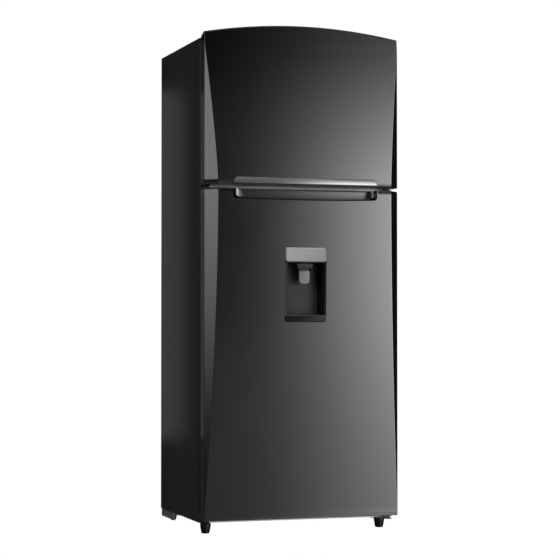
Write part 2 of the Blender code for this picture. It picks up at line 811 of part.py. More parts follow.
def dispenser_housing():
    """Recessed niche with sloping walls."""
    h = DISPENSER_HALF
    low, high = dz(DISPENSER_BOTTOM), dz(FASCIA_BOTTOM) - GAP
    rings = [
        (-h + 0.0165, low + 0.024, h - 0.0165, high - 0.004, 0.012, RECESS_DEPTH),
        (-h + 0.0075, low + 0.004, h - 0.0075, high - 0.003, 0.009, 0.020),
        (-h + 0.0035, low + 0.0035, h - 0.0035, high - 0.0025, 0.006, -0.0012),
        (-h, low, h, high, 0.009, -0.0012),
        (-h, low, h, high, 0.009, 0.018),
        (-h + 0.010, low + 0.001, h - 0.010, high - 0.001, 0.012, 0.0580),
    ]
    housing = make("dispenser_housing", in_dispenser(shell(rings, "Y")), "black_plastic")
    slot = box((-0.0064, 0.0131, dz(0.915)), (0.0064, 0.0259, dz(0.940)))
    return cut(housing, make("riser_slot", in_dispenser(slot), "foam"))


def dispenser_fascia():
    """Silver panel above the niche."""
    h = DISPENSER_HALF
    low, high = dz(FASCIA_BOTTOM), dz(DISPENSER_TOP)
    rings = [
        (-h + 0.0015, low + 0.0015, h - 0.0015, high - 0.0015, 0.0080, -0.0035),
        (-h, low, h, high, 0.0090, -0.0020),
        (-h, low, h, high, 0.0090, 0.0120),
    ]
    return make("dispenser_fascia", in_dispenser(shell(rings, "Y")), "silver_trim")


def dispenser_valve():
    """Tap body: a tube from the tank through the door, a nozzle block and two lever ears."""
    tube = [(0.0090, ahead(0.0765)), (0.0090, ahead(-0.006))]
    body = make("dispenser_valve", turned(tube, (0, 0, VALVE_Z), "Y", 20), "black_plastic")
    block = [(-0.036, dz(0.9238)), (0.036, dz(0.9238)), (0.030, dz(0.9110)), (-0.030, dz(0.9110))]
    nozzle = make("nozzle_block", in_dispenser(prism(block, "Y", 0.010, 0.044)), "black_plastic")
    riser = make(
        "riser", in_dispenser(box((-0.006, 0.0135, dz(0.920)), (0.006, 0.0255, dz(0.9570)))),
        "black_plastic",
    )
    join(body, riser, nozzle)
    for sign in (-1, 1):
        x0, x1 = sorted((sign * 0.0215, sign * 0.0245))
        ear = box((x0, 0.015, dz(0.8990)), (x1, 0.029, dz(0.9130)))
        join(body, make("ear" + str(sign), in_dispenser(ear), "black_plastic"))
    hole = rod((0, LEVER_AXLE[0], dz(LEVER_AXLE[1])), 0.0023, -0.03, 0.03, "X", 12)
    return cut(body, make("ear_hole", in_dispenser(hole), "black_plastic"))


def dispenser_lever():
    """Ribbed push paddle with stub axles."""
    top, low = dz(LEVER_TOP), dz(LEVER_BOTTOM)
    ribs = 4
    front = []
    for i in range(ribs):
        z = top - 0.012 - i * 0.0095
        front += [(0.0155, z), (0.0135, z - 0.0025), (0.0135, z - 0.0050), (0.0155, z - 0.0075)]
    outline = (
        [(0.0185, top - 0.001)] + front + [(0.0165, low + 0.002), (0.0185, low)]
        + [(0.0235, low + 0.001), (0.0245, low + 0.006), (0.0255, top - 0.001)]
    )
    body = in_dispenser(prism(outline, "X", -LEVER_HALF, LEVER_HALF))
    paddle = make("dispenser_lever", body, "lever_grey")
    axle = rod((0, LEVER_AXLE[0], dz(LEVER_AXLE[1])), 0.0020, -0.0250, 0.0250, "X", 12)
    join(paddle, make("lever_axle", in_dispenser(axle), "lever_grey"))
    return pivot(paddle, TILT @ Vector((0, LEVER_AXLE[0], dz(LEVER_AXLE[1]))))


def drip_tray():
    """Pull-out tray: a shallow box with cross bars behind a front plate, under the niche."""
    h = DISPENSER_HALF
    half = h - 0.0140
    low, high = dz(DISPENSER_BOTTOM) + 0.0052, dz(0.7475)
    rings = [
        (-half, -0.0030, half, 0.0180, 0.004, low), (-half, -0.0030, half, 0.0180, 0.004, high),
        (-half + 0.002, 0.001, half - 0.002, 0.0160, 0.003, high),
        (-half + 0.002, 0.001, half - 0.002, 0.0160, 0.003, low + 0.002),
    ]
    tray_body = make("drip_tray", in_dispenser(shell(rings, "Z")), "black_plastic")
    plate = [
        (-h + 0.0005, low - 0.0047, h - 0.0005, high, 0.0080, -0.0040),
        (-h + 0.0005, low - 0.0047, h - 0.0005, high, 0.0080, -0.0016),
    ]
    join(tray_body, make("tray_front", in_dispenser(shell(plate, "Y")), "black_plastic"))
    for i in range(5):
        x = -0.044 + i * 0.022
        bar = box((x - 0.003, 0.000, high - 0.002), (x + 0.003, 0.0170, high))
        join(tray_body, make("tray_bar_" + str(i), in_dispenser(bar), "black_plastic"))
    return pivot(tray_body, TILT @ Vector((0, 0, low)))


def water_tank():
    x0, x1, z0, z1 = TANK
    tank = make(
        "water_tank",
        tray(x0, ahead(0.0122), x1, ahead(-TANK_REACH), z0 - 0.010, z1, 0.0025, 0.016, 0.002),
        "clear_plastic",
    )
    outlet = rod((0, 0, VALVE_Z), 0.0094, ahead(0.03), ahead(0.005), "Y", 20)
    return cut(tank, make("tank_outlet", outlet, "foam"))


def water_tank_lid():
    """Plate with a plug that drops into the tank's rim."""
    x0, x1, _, z1 = TANK
    y0, y1 = ahead(0.0122), behind(TANK_REACH)

    def ring(inset, radius, level):
        return (x0 + inset, y0 + inset, x1 - inset, y1 - inset, radius, level)
    rings = [
        ring(0.0000, 0.016, z1 + 0.0045),
        ring(0.0000, 0.016, z1 + GAP),
        ring(0.0032, 0.013, z1 + GAP - 0.0001),
        ring(0.0034, 0.013, z1 - 0.004),
    ]
    return make("water_tank_lid", shell(rings, "Z"), "liner_white")


# --------------------------------------------------------------- freezer interior
def evaporator():
    """Finned block: rectangles stacked upwards, deep at a fin and shallow between fins."""
    fins, pitch, low, half = 11, 0.0180, 1.262, 0.235
    back, root, tip = behind(0.4700), behind(0.4640), behind(0.4300)
    loops = []
    for i in range(fins):
        z = low + i * pitch
        stack = [(tip, z), (tip, z + 0.0028), (root, z + 0.0034), (root, z + pitch - 0.0006)]
        for front, level in stack[: 2 if i == fins - 1 else 4]:
            corners = [(-half, front), (half, front), (half, back), (-half, back)]
            loops.append([(x, y, level) for x, y in corners])
    return make("evaporator", loft(loops), "aluminium")


def evaporator_cover():
    """Duct panel with outlet slots and the fan opening."""
    y0, y1 = behind(0.4040), behind(0.4070)
    half = FREEZER_HALF - 0.006
    panel = make(
        "evaporator_cover",
        shell([
            (-half, FREEZER_FLOOR + 0.004, half, FREEZER_CEILING - 0.006, 0.012, y0),
            (-half, FREEZER_FLOOR + 0.004, half, FREEZER_CEILING - 0.006, 0.012, y1),
        ], "Y"),
        "liner_white",
    )
    for i in range(4):
        z = 1.262 + i * 0.016
        slot = box((-0.16, y0 - 0.01, z), (0.16, y1 + 0.01, z + 0.006))
        cut(panel, make("return_slot_" + str(i), slot, "foam"))
    for i in range(5):
        z = FAN_Z - 0.032 + i * 0.014
        slot = box((-0.048, y0 - 0.01, z), (0.048, y1 + 0.01, z + 0.007))
        cut(panel, make("outlet_slot_" + str(i), slot, "foam"))
    return panel


def fan_motor():
    profile = [(0.0190, 0.4690), (0.0210, 0.4660), (0.0210, 0.4440), (0.0160, 0.4420),
               (0.0022, 0.4418), (0.0022, 0.4300)]
    points = [(r, behind(d)) for r, d in profile][::-1]
    return make("fan_motor", turned(points, (0, 0, FAN_Z), "Y", 20), "black_plastic")


def evaporator_fan():
    """Axial rotor: a hub with five twisted blades, as one lofted outline."""
    blades, hub, tip = 5, 0.0130, 0.0440
    layers = ((0.0290, 14), (0.0215, 7), (0.0140, 0))
    loops = []
    for depth, twist in layers:
        loop = []
        for b in range(blades):
            base = 360 / blades * b + twist
            for radius, angle in ((hub, 0), (tip, 3), (tip, 22), (hub, 25), (hub, 48)):
                a = math.radians(base + angle)
                x, z = radius * math.cos(a), FAN_Z + radius * math.sin(a)
                loop.append((x, behind(0.4085 + depth), z))
        loops.append(loop)
    rotor = make("evaporator_fan", loft(loops), "black_plastic", 25)
    bore = rod((0, 0, FAN_Z), 0.0026, behind(0.4280), behind(0.46), "Y", 12)
    cut(rotor, make("fan_bore", bore, "foam"))
    rotor.modifiers[0].solver = "MANIFOLD"   # the twisted blades defeat EXACT
    return pivot(rotor, (0, behind(0.4300), FAN_Z))


def shelf(name, half, z, front, back, thick, slot):
    """Flat shelf plate with rounded corners."""
    rings = [
        (-half, behind(front), half, behind(back), 0.008, z - thick),
        (-half, behind(front), half, behind(back), 0.008, z),
    ]
    return make(name, shell(rings, "Z", 2), slot)


# ---------------------------------------------------------------- fridge interior
def crisper_drawer():
    front, back, low, high = CRISPER
    half = CRISPER_HALF
    drawer = make(
        "crisper_drawer",
        tray(-half, behind(front), half, behind(back), low, high, 0.0025, 0.014, 0.004),
        "clear_plastic",
    )
    lip = box(
        (-0.09, behind(front - 0.012), high - 0.006), (0.09, behind(front + 0.001), high - 0.0005)
    )
    join(drawer, make("drawer_lip", lip, "clear_plastic"))
    return pivot(drawer, (0, behind(front), low))


def thermostat_housing():
    """Control box under the ceiling, open on top, with a hole for the knob's shaft."""
    x0, x1, front, back, low = THERMOSTAT
    high = FRIDGE_CEILING - 0.006

    def ring(inset, radius, level):
        return (
            x0 + inset, behind(front + inset), x1 - inset, behind(back - inset), radius, level
        )
    rings = [ring(0, 0.008, high), ring(0, 0.008, low + 0.003), ring(0.003, 0.006, low)]
    inner = [ring(0.0025, 0.006, high + 0.01), ring(0.0025, 0.006, low + 0.005)]
    body = make("thermostat_housing", shell(rings, "Z", 2), "liner_white")
    hole = rod((0, 0, KNOB_Z), 0.0033, behind(front - 0.01), behind(front + 0.01), "Y", 12)
    window = box(
        (-0.060, behind(front + 0.06), low - 0.01), (0.060, behind(back - 0.02), low + 0.02)
    )
    return cut(
        body, make("housing_inside", shell(inner, "Z", 2), "foam"), make("knob_hole", hole, "foam"),
        make("lamp_window", window, "foam"),
    )


def thermostat_knob():
    """Round dial with a shaft and a raised grip bar."""
    front = behind(THERMOSTAT[2])
    profile = [
        (0.0030, 0.012), (0.0030, -0.0005), (0.0170, -0.0005), (0.0170, -0.0060),
        (0.0150, -0.0080),
    ]
    points = [(r, front + h) for r, h in profile]
    knob = make("thermostat_knob", turned(points, (0, 0, KNOB_Z), "Y", 20), "lever_grey")
    grip = box(
        (-0.0030, front - 0.0180, KNOB_Z - 0.0150), (0.0030, front - 0.0070, KNOB_Z + 0.0150)
    )
    join(knob, make("knob_grip", grip, "lever_grey"))
    return pivot(knob, (0, front, KNOB_Z))


def lamp_lens():
    """Ribbed diffuser in the control box's window."""
    front, back, low = THERMOSTAT[2:]
    y0, y1 = behind(front + 0.06) + GAP, behind(back - 0.02) - GAP
    z0, z1 = low + 0.0005, low + 0.0045
    half = 0.060 - GAP
    ribs = 8
    pitch = 2 * half / ribs
    outline = [(half, z1)]
    for i in range(ribs):
        x = half - i * pitch
        outline += [(x, z0 + 0.0010), (x - pitch / 2, z0)]
    outline += [(-half, z0 + 0.0010), (-half, z1)]
    return make("lamp_lens", prism(outline, "Y", y0, y1), "clear_plastic")


# -------------------------------------------------------------------- machine room
def compressor_tray():
    """Channel across the bottom rear; its end flanges carry the roller axle."""
    t, high, drop = 0.0015, CABINET_BOTTOM + 0.0020, 0.012
    span = HALF - SHEET - GAP - 0.002
    outline = [
        (-span, drop), (-span, high), (span, high), (span, drop), (span - t, drop),
        (span - t, high - t), (-span + t, high - t), (-span + t, drop),
    ]
    front, back = behind(MACHINE_DEPTH) + 0.002, BACK - 0.004
    plate = make("compressor_tray", prism(outline, "Y", front, back), "zinc")
    hole = rod((0, BACK - ROLLER_FROM_BACK, ROLLER_RADIUS), 0.0043, -0.4, 0.4, "X", 12)
    return cut(plate, make("axle_holes", hole, "zinc"))


def compressor():
    """Sealed can on a foot plate with a terminal box."""
    low = CABINET_BOTTOM + 0.0020 + GAP
    profile = [(0.066, 0.012), (0.070, 0.020), (0.072, 0.062), (0.075, 0.066), (0.075, 0.072),
               (0.071, 0.078), (0.066, 0.110), (0.050, 0.132), (0.022, 0.142)]
    points = [(r, low + h) for r, h in profile]
    x, y = COMPRESSOR_X, COMPRESSOR_Y
    can = make("compressor", turned(points, (x, y, 0), "Z", 24), "compressor_black")
    feet = box((x - 0.095, y - 0.050, low), (x + 0.095, y + 0.050, low + 0.014))
    terminals = box((x + 0.060, y - 0.030, low + 0.035), (x + 0.098, y + 0.030, low + 0.085))
    return join(
        can, make("compressor_feet", feet, "zinc"), make("terminal_box", terminals, "black_plastic")
    )


def drain_pan():
    """Evaporation pan over the compressor."""
    low, high = 0.192, 0.227
    x, y = COMPRESSOR_X, COMPRESSOR_Y
    bm = tray(x - 0.10, y - 0.075, x + 0.10, y + 0.075, low, high, 0.0025, 0.02, 0.006)
    return make("drain_pan", bm, "black_plastic")


def rear_cover():
    """Vented sheet over the machine room."""
    span = HALF - 0.016
    y1 = BACK - SHEET - GAP
    y0 = y1 - 0.0010
    cover = make(
        "rear_cover",
        shell([
            (-span, 0.046, span, MACHINE_TOP - 0.002, 0.006, y0),
            (-span, 0.046, span, MACHINE_TOP - 0.002, 0.006, y1),
        ], "Y", 2),
        "zinc",
    )
    for i in range(12):
        x = -0.24 + i * 0.030
        slot = box((x, y0 - 0.01, 0.16), (x + 0.010, y1 + 0.01, 0.26))
        cut(cover, make("vent_" + str(i), slot, "zinc"))
    half = INLET_HALF + 0.0005
    inlet = box(
        (INLET_X - half, y0 - 0.01, INLET_Z - half), (INLET_X + half, y1 + 0.01, INLET_Z + half)
    )
    return cut(cover, make("inlet_hole", inlet, "zinc"))


def power_inlet():
    """Appliance socket set in the rear cover."""
    back = BACK - 0.0002
    x, z, half, well_half = INLET_X, INLET_Z, INLET_HALF, INLET_HALF - 0.003
    rings = [(x - half, z - half, x + half, z + half, 0.003, y) for y in (back - 0.024, back)]
    block = make("power_inlet", shell(rings, "Y", 2), "black_plastic")
    well = box(
        (x - well_half, back - 0.016, z - well_half), (x + well_half, back + 0.01, z + well_half)
    )
    return cut(block, make("socket_well", well, "foam"))


def roller_axle():
    """Steel bar through the tray's end flanges; both rollers turn on it."""
    at = (0, BACK - ROLLER_FROM_BACK, ROLLER_RADIUS)
    return make("roller_axle", rod(at, 0.0040, -HALF + 0.004, HALF - 0.004, "X", 12), "zinc")


def roller(name, sign):
    """Rear wheel with chamfered rims, bored for the axle."""
    profile = [
        (0.0185, -0.0085), (ROLLER_RADIUS, -0.0060), (ROLLER_RADIUS, 0.0060), (0.0185, 0.0085),
    ]
    centre = (sign * ROLLER_X, BACK - ROLLER_FROM_BACK, ROLLER_RADIUS)
    wheel = make(name, turned(profile, centre, "X", 28), "black_plastic")
    cut(wheel, make(name + "_bore", rod(centre, 0.0043, -0.02, 0.02, "X", 12), "foam"))
    return pivot(wheel, centre)


def levelling_foot(name, sign):
    """Adjustable front foot: tapered pad with a threaded stem."""
    profile = [(0.0130, 0.0), (0.0142, 0.0022), (0.0185, 0.0250), (0.0185, 0.0330),
               (0.0170, 0.0350), (0.0048, 0.0352), (0.0048, 0.0580)]
    centre = (sign * FOOT_X, behind(FOOT_BACK), 0)
    return pivot(make(name, turned(profile, centre, "Z", 24), "black_plastic"), centre)


# --------------------------------------------------------------------- assembly
def build_cabinet():
    side_panel("side_panel_left", -1)
    side_panel("side_panel_right", 1)
    top_panel()
    rear_panel()
    base_plate()
    cabinet_foam()
    liner("freezer_liner", *FREEZER_BOX, FREEZER_FLANGE, False)
    liner("fridge_liner", *FRIDGE_BOX, FRIDGE_FLANGE, True)
    centre_rail()
    door_switch()
    top_hinge()
    top_hinge_cover()
    middle_hinge()
    bottom_hinge()


def build_freezer_door():
    freezer_door_panel()
    freezer_door_top_cap()
    freezer_door_bottom_cap()
    freezer_door_foam()
    handle_trim()
    door_liner("freezer_door_liner", 1.1925, 1.6960, 0.279, 1.247, 1.630)
    gasket("freezer_door_gasket", 1.1990, 1.6860)
    door_bin("freezer_bin_lower", 0.2705, 1.275, 1.360, 0.070)
    door_bin("freezer_bin_upper", 0.2705, 1.455, 1.530, 0.070)


def build_fridge_door():
    fridge_door_panel()
    fridge_door_top_cap()
    fridge_door_bottom_cap()
    fridge_door_foam()
    liner_object = door_liner("fridge_door_liner", 0.0515, 1.1775, 0.291, 0.122, 1.134)
    cut(liner_object, valve_bore("liner_bore", 0.0110))
    gasket("fridge_door_gasket", 0.0580, 1.1710)
    door_bin("bottle_bin", 0.2825, 0.150, 0.285, 0.078)
    door_bin("fridge_bin", 0.2825, 0.520, 0.610, 0.078)
    dispenser_housing()
    dispenser_fascia()
    dispenser_valve()
    dispenser_lever()
    drip_tray()
    water_tank()
    water_tank_lid()


def build_interior():
    evaporator()
    evaporator_cover()
    fan_motor()
    evaporator_fan()
    shelf("freezer_shelf", FREEZER_HALF - 0.005, 1.440, 0.085, 0.398, 0.004, "shelf_glass")
    shelf("fridge_shelf_upper", SHELF_HALF, 0.860, 0.090, 0.468, 0.005, "shelf_glass")
    shelf("fridge_shelf_lower", SHELF_HALF, 0.600, 0.090, 0.468, 0.005, "shelf_glass")
    cover_back = STEP_DEPTH - 0.002
    shelf("crisper_cover", SHELF_HALF, STEP_HEIGHT, 0.100, cover_back, 0.005, "shelf_glass")
    crisper_drawer()
    thermostat_housing()
    thermostat_knob()
    lamp_lens()


def build_machine_room():
    compressor_tray()
    compressor()
    drain_pan()
    rear_cover()
    power_inlet()
    roller_axle()
    for side, sign in (("left", -1), ("right", 1)):
        roller("rear_roller_" + side, sign)
        levelling_foot("levelling_foot_" + side, sign)


clear_scene()
build_cabinet()
build_freezer_door()
build_fridge_door()
build_interior()
build_machine_room()
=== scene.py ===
"""Top freezer refrigerator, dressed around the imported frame. Metres, +Z up, doors face -Y."""
import json
import math

import bmesh
import bpy
from mathutils import Matrix, Vector


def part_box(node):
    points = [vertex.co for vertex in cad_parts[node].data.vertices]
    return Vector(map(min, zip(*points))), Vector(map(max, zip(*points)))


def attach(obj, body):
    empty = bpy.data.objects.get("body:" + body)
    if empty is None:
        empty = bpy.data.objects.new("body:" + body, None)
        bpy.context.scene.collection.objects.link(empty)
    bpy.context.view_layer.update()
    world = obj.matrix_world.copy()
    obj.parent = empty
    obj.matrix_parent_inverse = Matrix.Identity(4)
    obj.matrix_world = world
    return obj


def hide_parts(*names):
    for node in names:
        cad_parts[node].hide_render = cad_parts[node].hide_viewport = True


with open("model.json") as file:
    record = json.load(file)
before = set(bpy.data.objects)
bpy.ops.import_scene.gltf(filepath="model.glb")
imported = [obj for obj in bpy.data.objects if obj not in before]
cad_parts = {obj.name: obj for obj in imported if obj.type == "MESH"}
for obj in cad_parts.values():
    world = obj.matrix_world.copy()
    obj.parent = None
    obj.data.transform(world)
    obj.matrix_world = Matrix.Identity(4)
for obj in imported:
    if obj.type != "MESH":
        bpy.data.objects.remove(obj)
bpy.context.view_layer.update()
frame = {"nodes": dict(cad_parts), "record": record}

NODES = frame["nodes"]

# ------------------------------------------------------------- sizes from the frame
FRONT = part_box("fridge_liner")[0].y          # the cabinet's front plane
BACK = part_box("side_panel_left")[1].y
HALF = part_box("side_panel_right")[1].x
CABINET_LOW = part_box("side_panel_left")[0].z
CABINET_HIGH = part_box("side_panel_left")[1].z
FRIDGE_LOW, FRIDGE_HIGH = (c.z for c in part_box("fridge_door_panel"))
FREEZER_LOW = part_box("freezer_door_panel")[0].z

# ------------------------------------------------------------------- the doors' form
# Distances are measured ahead of the cabinet's front plane.
DOOR_BACK = 0.0130
KNEE = 0.0585             # the side edges
BULGE = 0.0400            # extra swell of the front where the two doors meet
LEAST_BULGE = 0.0012
FACE = KNEE + BULGE       # the foremost plane
FACET_RUN = 0.95          # width of the corner facet for each unit of bulge
SKEW = 0.414              # shift of a facet's ends along x for each unit of inset
FLAT_ABOVE = 1.6800
LEAN_ABOVE = 1.6690       # the front leans back above this height, by LEAN per metre
LEAN = 0.104
CROWN = 1.7450            # top of the arch, which drops by CROWN_DROP * x squared
CROWN_DROP = 0.2695
BACK_TOP = 1.7000
CREST_BACK = 0.0480
SHEET = 0.0008            # thickness of the painted sheets
GAP = 0.0003              # clearance between neighbours
TRACE = 0.0001            # keeps a surface just off a CAD face
LIP = 0.0047              # height of the black end caps that show past the painted skin
EDGE_RADIUS = 0.0020
ROLL = 0.0010             # radius of the skin's rolled edges
ROW_STEP = 0.013          # height between rows of the skin's mesh
PIN = (0.326, 0.041, 0.0043)   # x, distance ahead, radius of the hinge holes

HANDLE_HALF = 0.2585
TRIM_LOW, SILVER_LOW, TRIM_HIGH = 1.1890, 1.1963, 1.2155
TRIM_PROUD = 0.0025

POCKET_HALF, POCKET_FLOOR, POCKET_DEPTH = 0.2600, 1.1440, 0.030
POCKET_WALL = 0.0024
POCKET_ROOM = POCKET_WALL + 0.0002   # hole in the skin and the lip

DISPENSER_HALF = 0.0745
DISPENSER_LOW, DISPENSER_HIGH = 0.7240, 0.9780
FASCIA_LOW = 0.9285
RECESS = 0.055
AXLE_DEEP, AXLE_Z = 0.022, 0.9045    # the lever's axle, in the dispenser's own frame


def ahead(distance):
    """World y of a distance in front of the cabinet."""
    return FRONT - distance


def behind(distance):
    return FRONT + distance


def spread(low, high, count):
    """Evenly spaced values, both ends included."""
    return [low + (high - low) * i / count for i in range(count + 1)]


# ---------------------------------------------------------------------- shader helpers
class Graph:
    """Short names for the nodes of one material or world."""

    def __init__(self, tree):
        self.tree = tree
        tree.nodes.clear()

    def add(self, kind, inputs=None, **settings):
        node = self.tree.nodes.new(kind)
        for key, value in settings.items():
            setattr(node, key, value)
        for key, value in (inputs or {}).items():
            socket = node.inputs[key]
            if isinstance(value, bpy.types.NodeSocket):
                self.tree.links.new(value, socket)
            else:
                socket.default_value = value
        return node

    def math(self, operation, *values):
        return self.add("ShaderNodeMath", dict(enumerate(values)), operation=operation).outputs[0]

    def ramp(self, value, low, high, out_low=0.0, out_high=1.0, smooth=True):
        inputs = {"Value": value, "From Min": low, "From Max": high}
        inputs.update({"To Min": out_low, "To Max": out_high})
        kind = "SMOOTHSTEP" if smooth else "LINEAR"
        node = self.add("ShaderNodeMapRange", inputs, interpolation_type=kind)
        return node.outputs["Result"]


def finish_material(name, dark, light, rough, metallic=0.0, ior=1.5, grain=400.0, bump=0.05,
                    depth=0.0002, stretch=(1, 1, 1), texture="noise", transmission=0.0):
    """Procedural finish: two close colours, a varying roughness and a fine surface relief."""
    made = bpy.data.materials.new(name)
    made.use_nodes = True
    g = Graph(made.node_tree)
    place = g.add("ShaderNodeTexCoord").outputs["Object"]
    warped = g.add("ShaderNodeMapping", {"Vector": place, "Scale": stretch}).outputs["Vector"]
    if texture == "cells":
        fine = g.add("ShaderNodeTexVoronoi", {"Vector": warped, "Scale": grain}).outputs["Distance"]
    else:
        fine = g.add(
            "ShaderNodeTexNoise", {"Vector": warped, "Scale": grain, "Detail": 3.0}
        ).outputs["Fac"]
    broad = g.add(
        "ShaderNodeTexNoise", {"Vector": place, "Scale": 6.0, "Detail": 2.0}
    ).outputs["Fac"]
    mixed = g.math("ADD", g.math("MULTIPLY", fine, 0.6), g.math("MULTIPLY", broad, 0.4))
    colour = g.add("ShaderNodeMix", {0: mixed, 6: (*dark, 1), 7: (*light, 1)}, data_type="RGBA")
    relief = g.add(
        "ShaderNodeBump", {"Strength": bump, "Distance": depth, "Height": fine}
    ).outputs["Normal"]
    surface = g.add("ShaderNodeBsdfPrincipled", {
        "Base Color": colour.outputs[2], "Metallic": metallic, "IOR": ior, "Normal": relief,
        "Roughness": g.ramp(mixed, 0.3, 0.7, rough[0], rough[1], False),
        "Transmission Weight": transmission,
    })
    g.add("ShaderNodeOutputMaterial", {"Surface": surface.outputs[0]})
    return made


FINISHES = {
    "black_paint": dict(dark=(.0010, .0010, .0011), light=(.0020, .0020, .0022),
                        rough=(.060, .085), ior=2.23, grain=260.0, bump=.015, depth=.00005),
    "side_paint": dict(dark=(.0040, .0040, .0043), light=(.0060, .0060, .0064),
                       rough=(.16, .20), ior=1.60, grain=900.0, bump=.22, depth=.0003),
    "zinc": dict(dark=(.36, .37, .38), light=(.52, .53, .54), rough=(.26, .42),
                 metallic=.92, grain=110.0, bump=.06, texture="cells"),
    "liner_white": dict(dark=(.74, .75, .75), light=(.82, .83, .83), rough=(.24, .34),
                        grain=500.0, bump=.06),
    "foam": dict(dark=(.78, .68, .44), light=(.90, .83, .62), rough=(.80, .95),
                 grain=260.0, bump=.7, depth=.001, texture="cells"),
    "black_plastic": dict(dark=(.0065, .0065, .007), light=(.010, .010, .0105),
                          rough=(.22, .32), grain=700.0, bump=.10),
    "gasket_grey": dict(dark=(.060, .060, .064), light=(.090, .090, .095), rough=(.5, .65),
                        grain=800.0, bump=.15),
    "silver_trim": dict(dark=(.29, .298, .306), light=(.54, .548, .556), rough=(.24, .36),
                        metallic=.95, grain=60.0, bump=.08, stretch=(.25, 60, 60)),
    "clear_plastic": dict(dark=(.90, .94, .96), light=(.96, .98, .99), rough=(.05, .14),
                          ior=1.46, grain=300.0, bump=.03, transmission=.92),
    "shelf_glass": dict(dark=(.82, .92, .89), light=(.88, .96, .93), rough=(.02, .05),
                        ior=1.5, grain=80.0, bump=.01, transmission=.95),
    "aluminium": dict(dark=(.62, .63, .64), light=(.80, .81, .82), rough=(.28, .42),
                      metallic=.95, grain=90.0, bump=.08, stretch=(1, 1, 14)),
    "compressor_black": dict(dark=(.012, .012, .013), light=(.022, .022, .023),
                             rough=(.30, .48), grain=350.0, bump=.18, depth=.0004),
    "lever_grey": dict(dark=(.30, .305, .31), light=(.42, .425, .43), rough=(.20, .30),
                       grain=600.0, bump=.08),
    # Variants that the record has no slot for.
    "satin_black": dict(dark=(.0040, .0040, .0043), light=(.0060, .0060, .0064),
                        rough=(.34, .44), grain=900.0, bump=.10),
    # Black plastic lifted to dark grey: a painted reflection that stands in for the light the
    # dispenser's rear wall reflects.
    "niche_black_painted_reflection": dict(dark=(.088, .088, .090), light=(.108, .108, .110), rough=(.50, .60),
                        ior=1.4, grain=900.0, bump=.12),
    "silver_paint": dict(dark=(.34, .342, .346), light=(.40, .402, .406), rough=(.44, .50),
                         metallic=.85, grain=1200.0, bump=.06),
}
MATERIALS = {name: finish_material(name, **look) for name, look in FINISHES.items()}


# ------------------------------------------------------------------------ mesh helpers
def piece(name, bm, slot, body, angle=35.0, material=None, replaces=()):
    """Turn a bmesh into a finished piece that rides on a body."""
    bm.normal_update()
    bmesh.ops.recalc_face_normals(bm, faces=bm.faces)
    mesh = bpy.data.meshes.new(name)
    bm.to_mesh(mesh)
    bm.free()
    mesh.shade_smooth()
    mesh.set_sharp_from_angle(angle=math.radians(angle))
    mesh.materials.append(MATERIALS[material or slot])
    obj = bpy.data.objects.new(name, mesh)
    bpy.context.scene.collection.objects.link(obj)
    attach(obj, body)
    if replaces:
        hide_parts(*replaces)
    return obj


def loose(bm):
    """A temporary object for Boolean work."""
    bm.normal_update()
    bmesh.ops.triangulate(bm, faces=[f for f in bm.faces if len(f.verts) > 4])
    bmesh.ops.recalc_face_normals(bm, faces=bm.faces)
    mesh = bpy.data.meshes.new("tool")
    bm.to_mesh(mesh)
    bm.free()
    obj = bpy.data.objects.new("tool", mesh)
    bpy.context.scene.collection.objects.link(obj)
    return obj


def combine(obj, tools, operation="DIFFERENCE", angle=35.0):
    """Apply Boolean tools to a piece and remove them."""
    for tool in tools:
        boolean = obj.modifiers.new("combine", "BOOLEAN")
        boolean.operation = operation
        boolean.solver = "EXACT"
        boolean.object = tool
    bpy.context.view_layer.update()
    graph = bpy.context.evaluated_depsgraph_get()
    old = obj.data
    obj.data = bpy.data.meshes.new_from_object(obj.evaluated_get(graph))
    obj.data.name = obj.name
    obj.modifiers.clear()
    bpy.data.meshes.remove(old)
    for tool in tools:
        bpy.data.objects.remove(tool, do_unlink=True)
    obj.data.shade_smooth()
    obj.data.set_sharp_from_angle(angle=math.radians(angle))
    return obj


def soften(obj, width, segments=2, angle=30.0):
    """Weld split vertices, round the edges and smooth the faces between them."""
    weld = obj.modifiers.new("weld", "WELD")
    weld.merge_threshold = 0.00001
    bevel = obj.modifiers.new("bevel", "BEVEL")
    bevel.width = width
    bevel.segments = segments
    bevel.limit_method = "ANGLE"
    bevel.angle_limit = math.radians(angle)
    normals = obj.modifiers.new("normals", "WEIGHTED_NORMAL")
    normals.keep_sharp = True
    return obj


def loft(loops, caps=True, bm=None):
    """Skin over loops that have the same number of points."""
    bm = bm or bmesh.new()
    rows = [[bm.verts.new(p) for p in loop] for loop in loops]
    for a, b in zip(rows, rows[1:]):
        for i in range(len(a)):
            j = (i + 1) % len(a)
            bm.faces.new((a[i], a[j], b[j], b[i]))
    if caps:
        bm.faces.new(rows[0])
        bm.faces.new(rows[-1][::-1])
    return bm


def place(point, axis, level):
    """Add the coordinate along axis to the two across it."""
    point = list(point)
    point.insert("XYZ".index(axis), level)
    return point


def prism(outline, axis, low, high, bm=None):
    """Outline pushed along an axis from low to high."""
    return loft([[place(p, axis, level) for p in outline] for level in (low, high)], bm=bm)


def arc(cx, cz, radius, start, end, steps):
    angles = [math.radians(a) for a in spread(start, end, steps)]
    return [(cx + radius * math.cos(a), cz + radius * math.sin(a)) for a in angles]


def rounded(x0, z0, x1, z1, radius, steps=6):
    """Outline of a rectangle with rounded corners."""
    return (
        arc(x1 - radius, z1 - radius, radius, 0, 90, steps)
        + arc(x0 + radius, z1 - radius, radius, 90, 180, steps)
        + arc(x0 + radius, z0 + radius, radius, 180, 270, steps)
        + arc(x1 - radius, z0 + radius, radius, 270, 360, steps)
    )


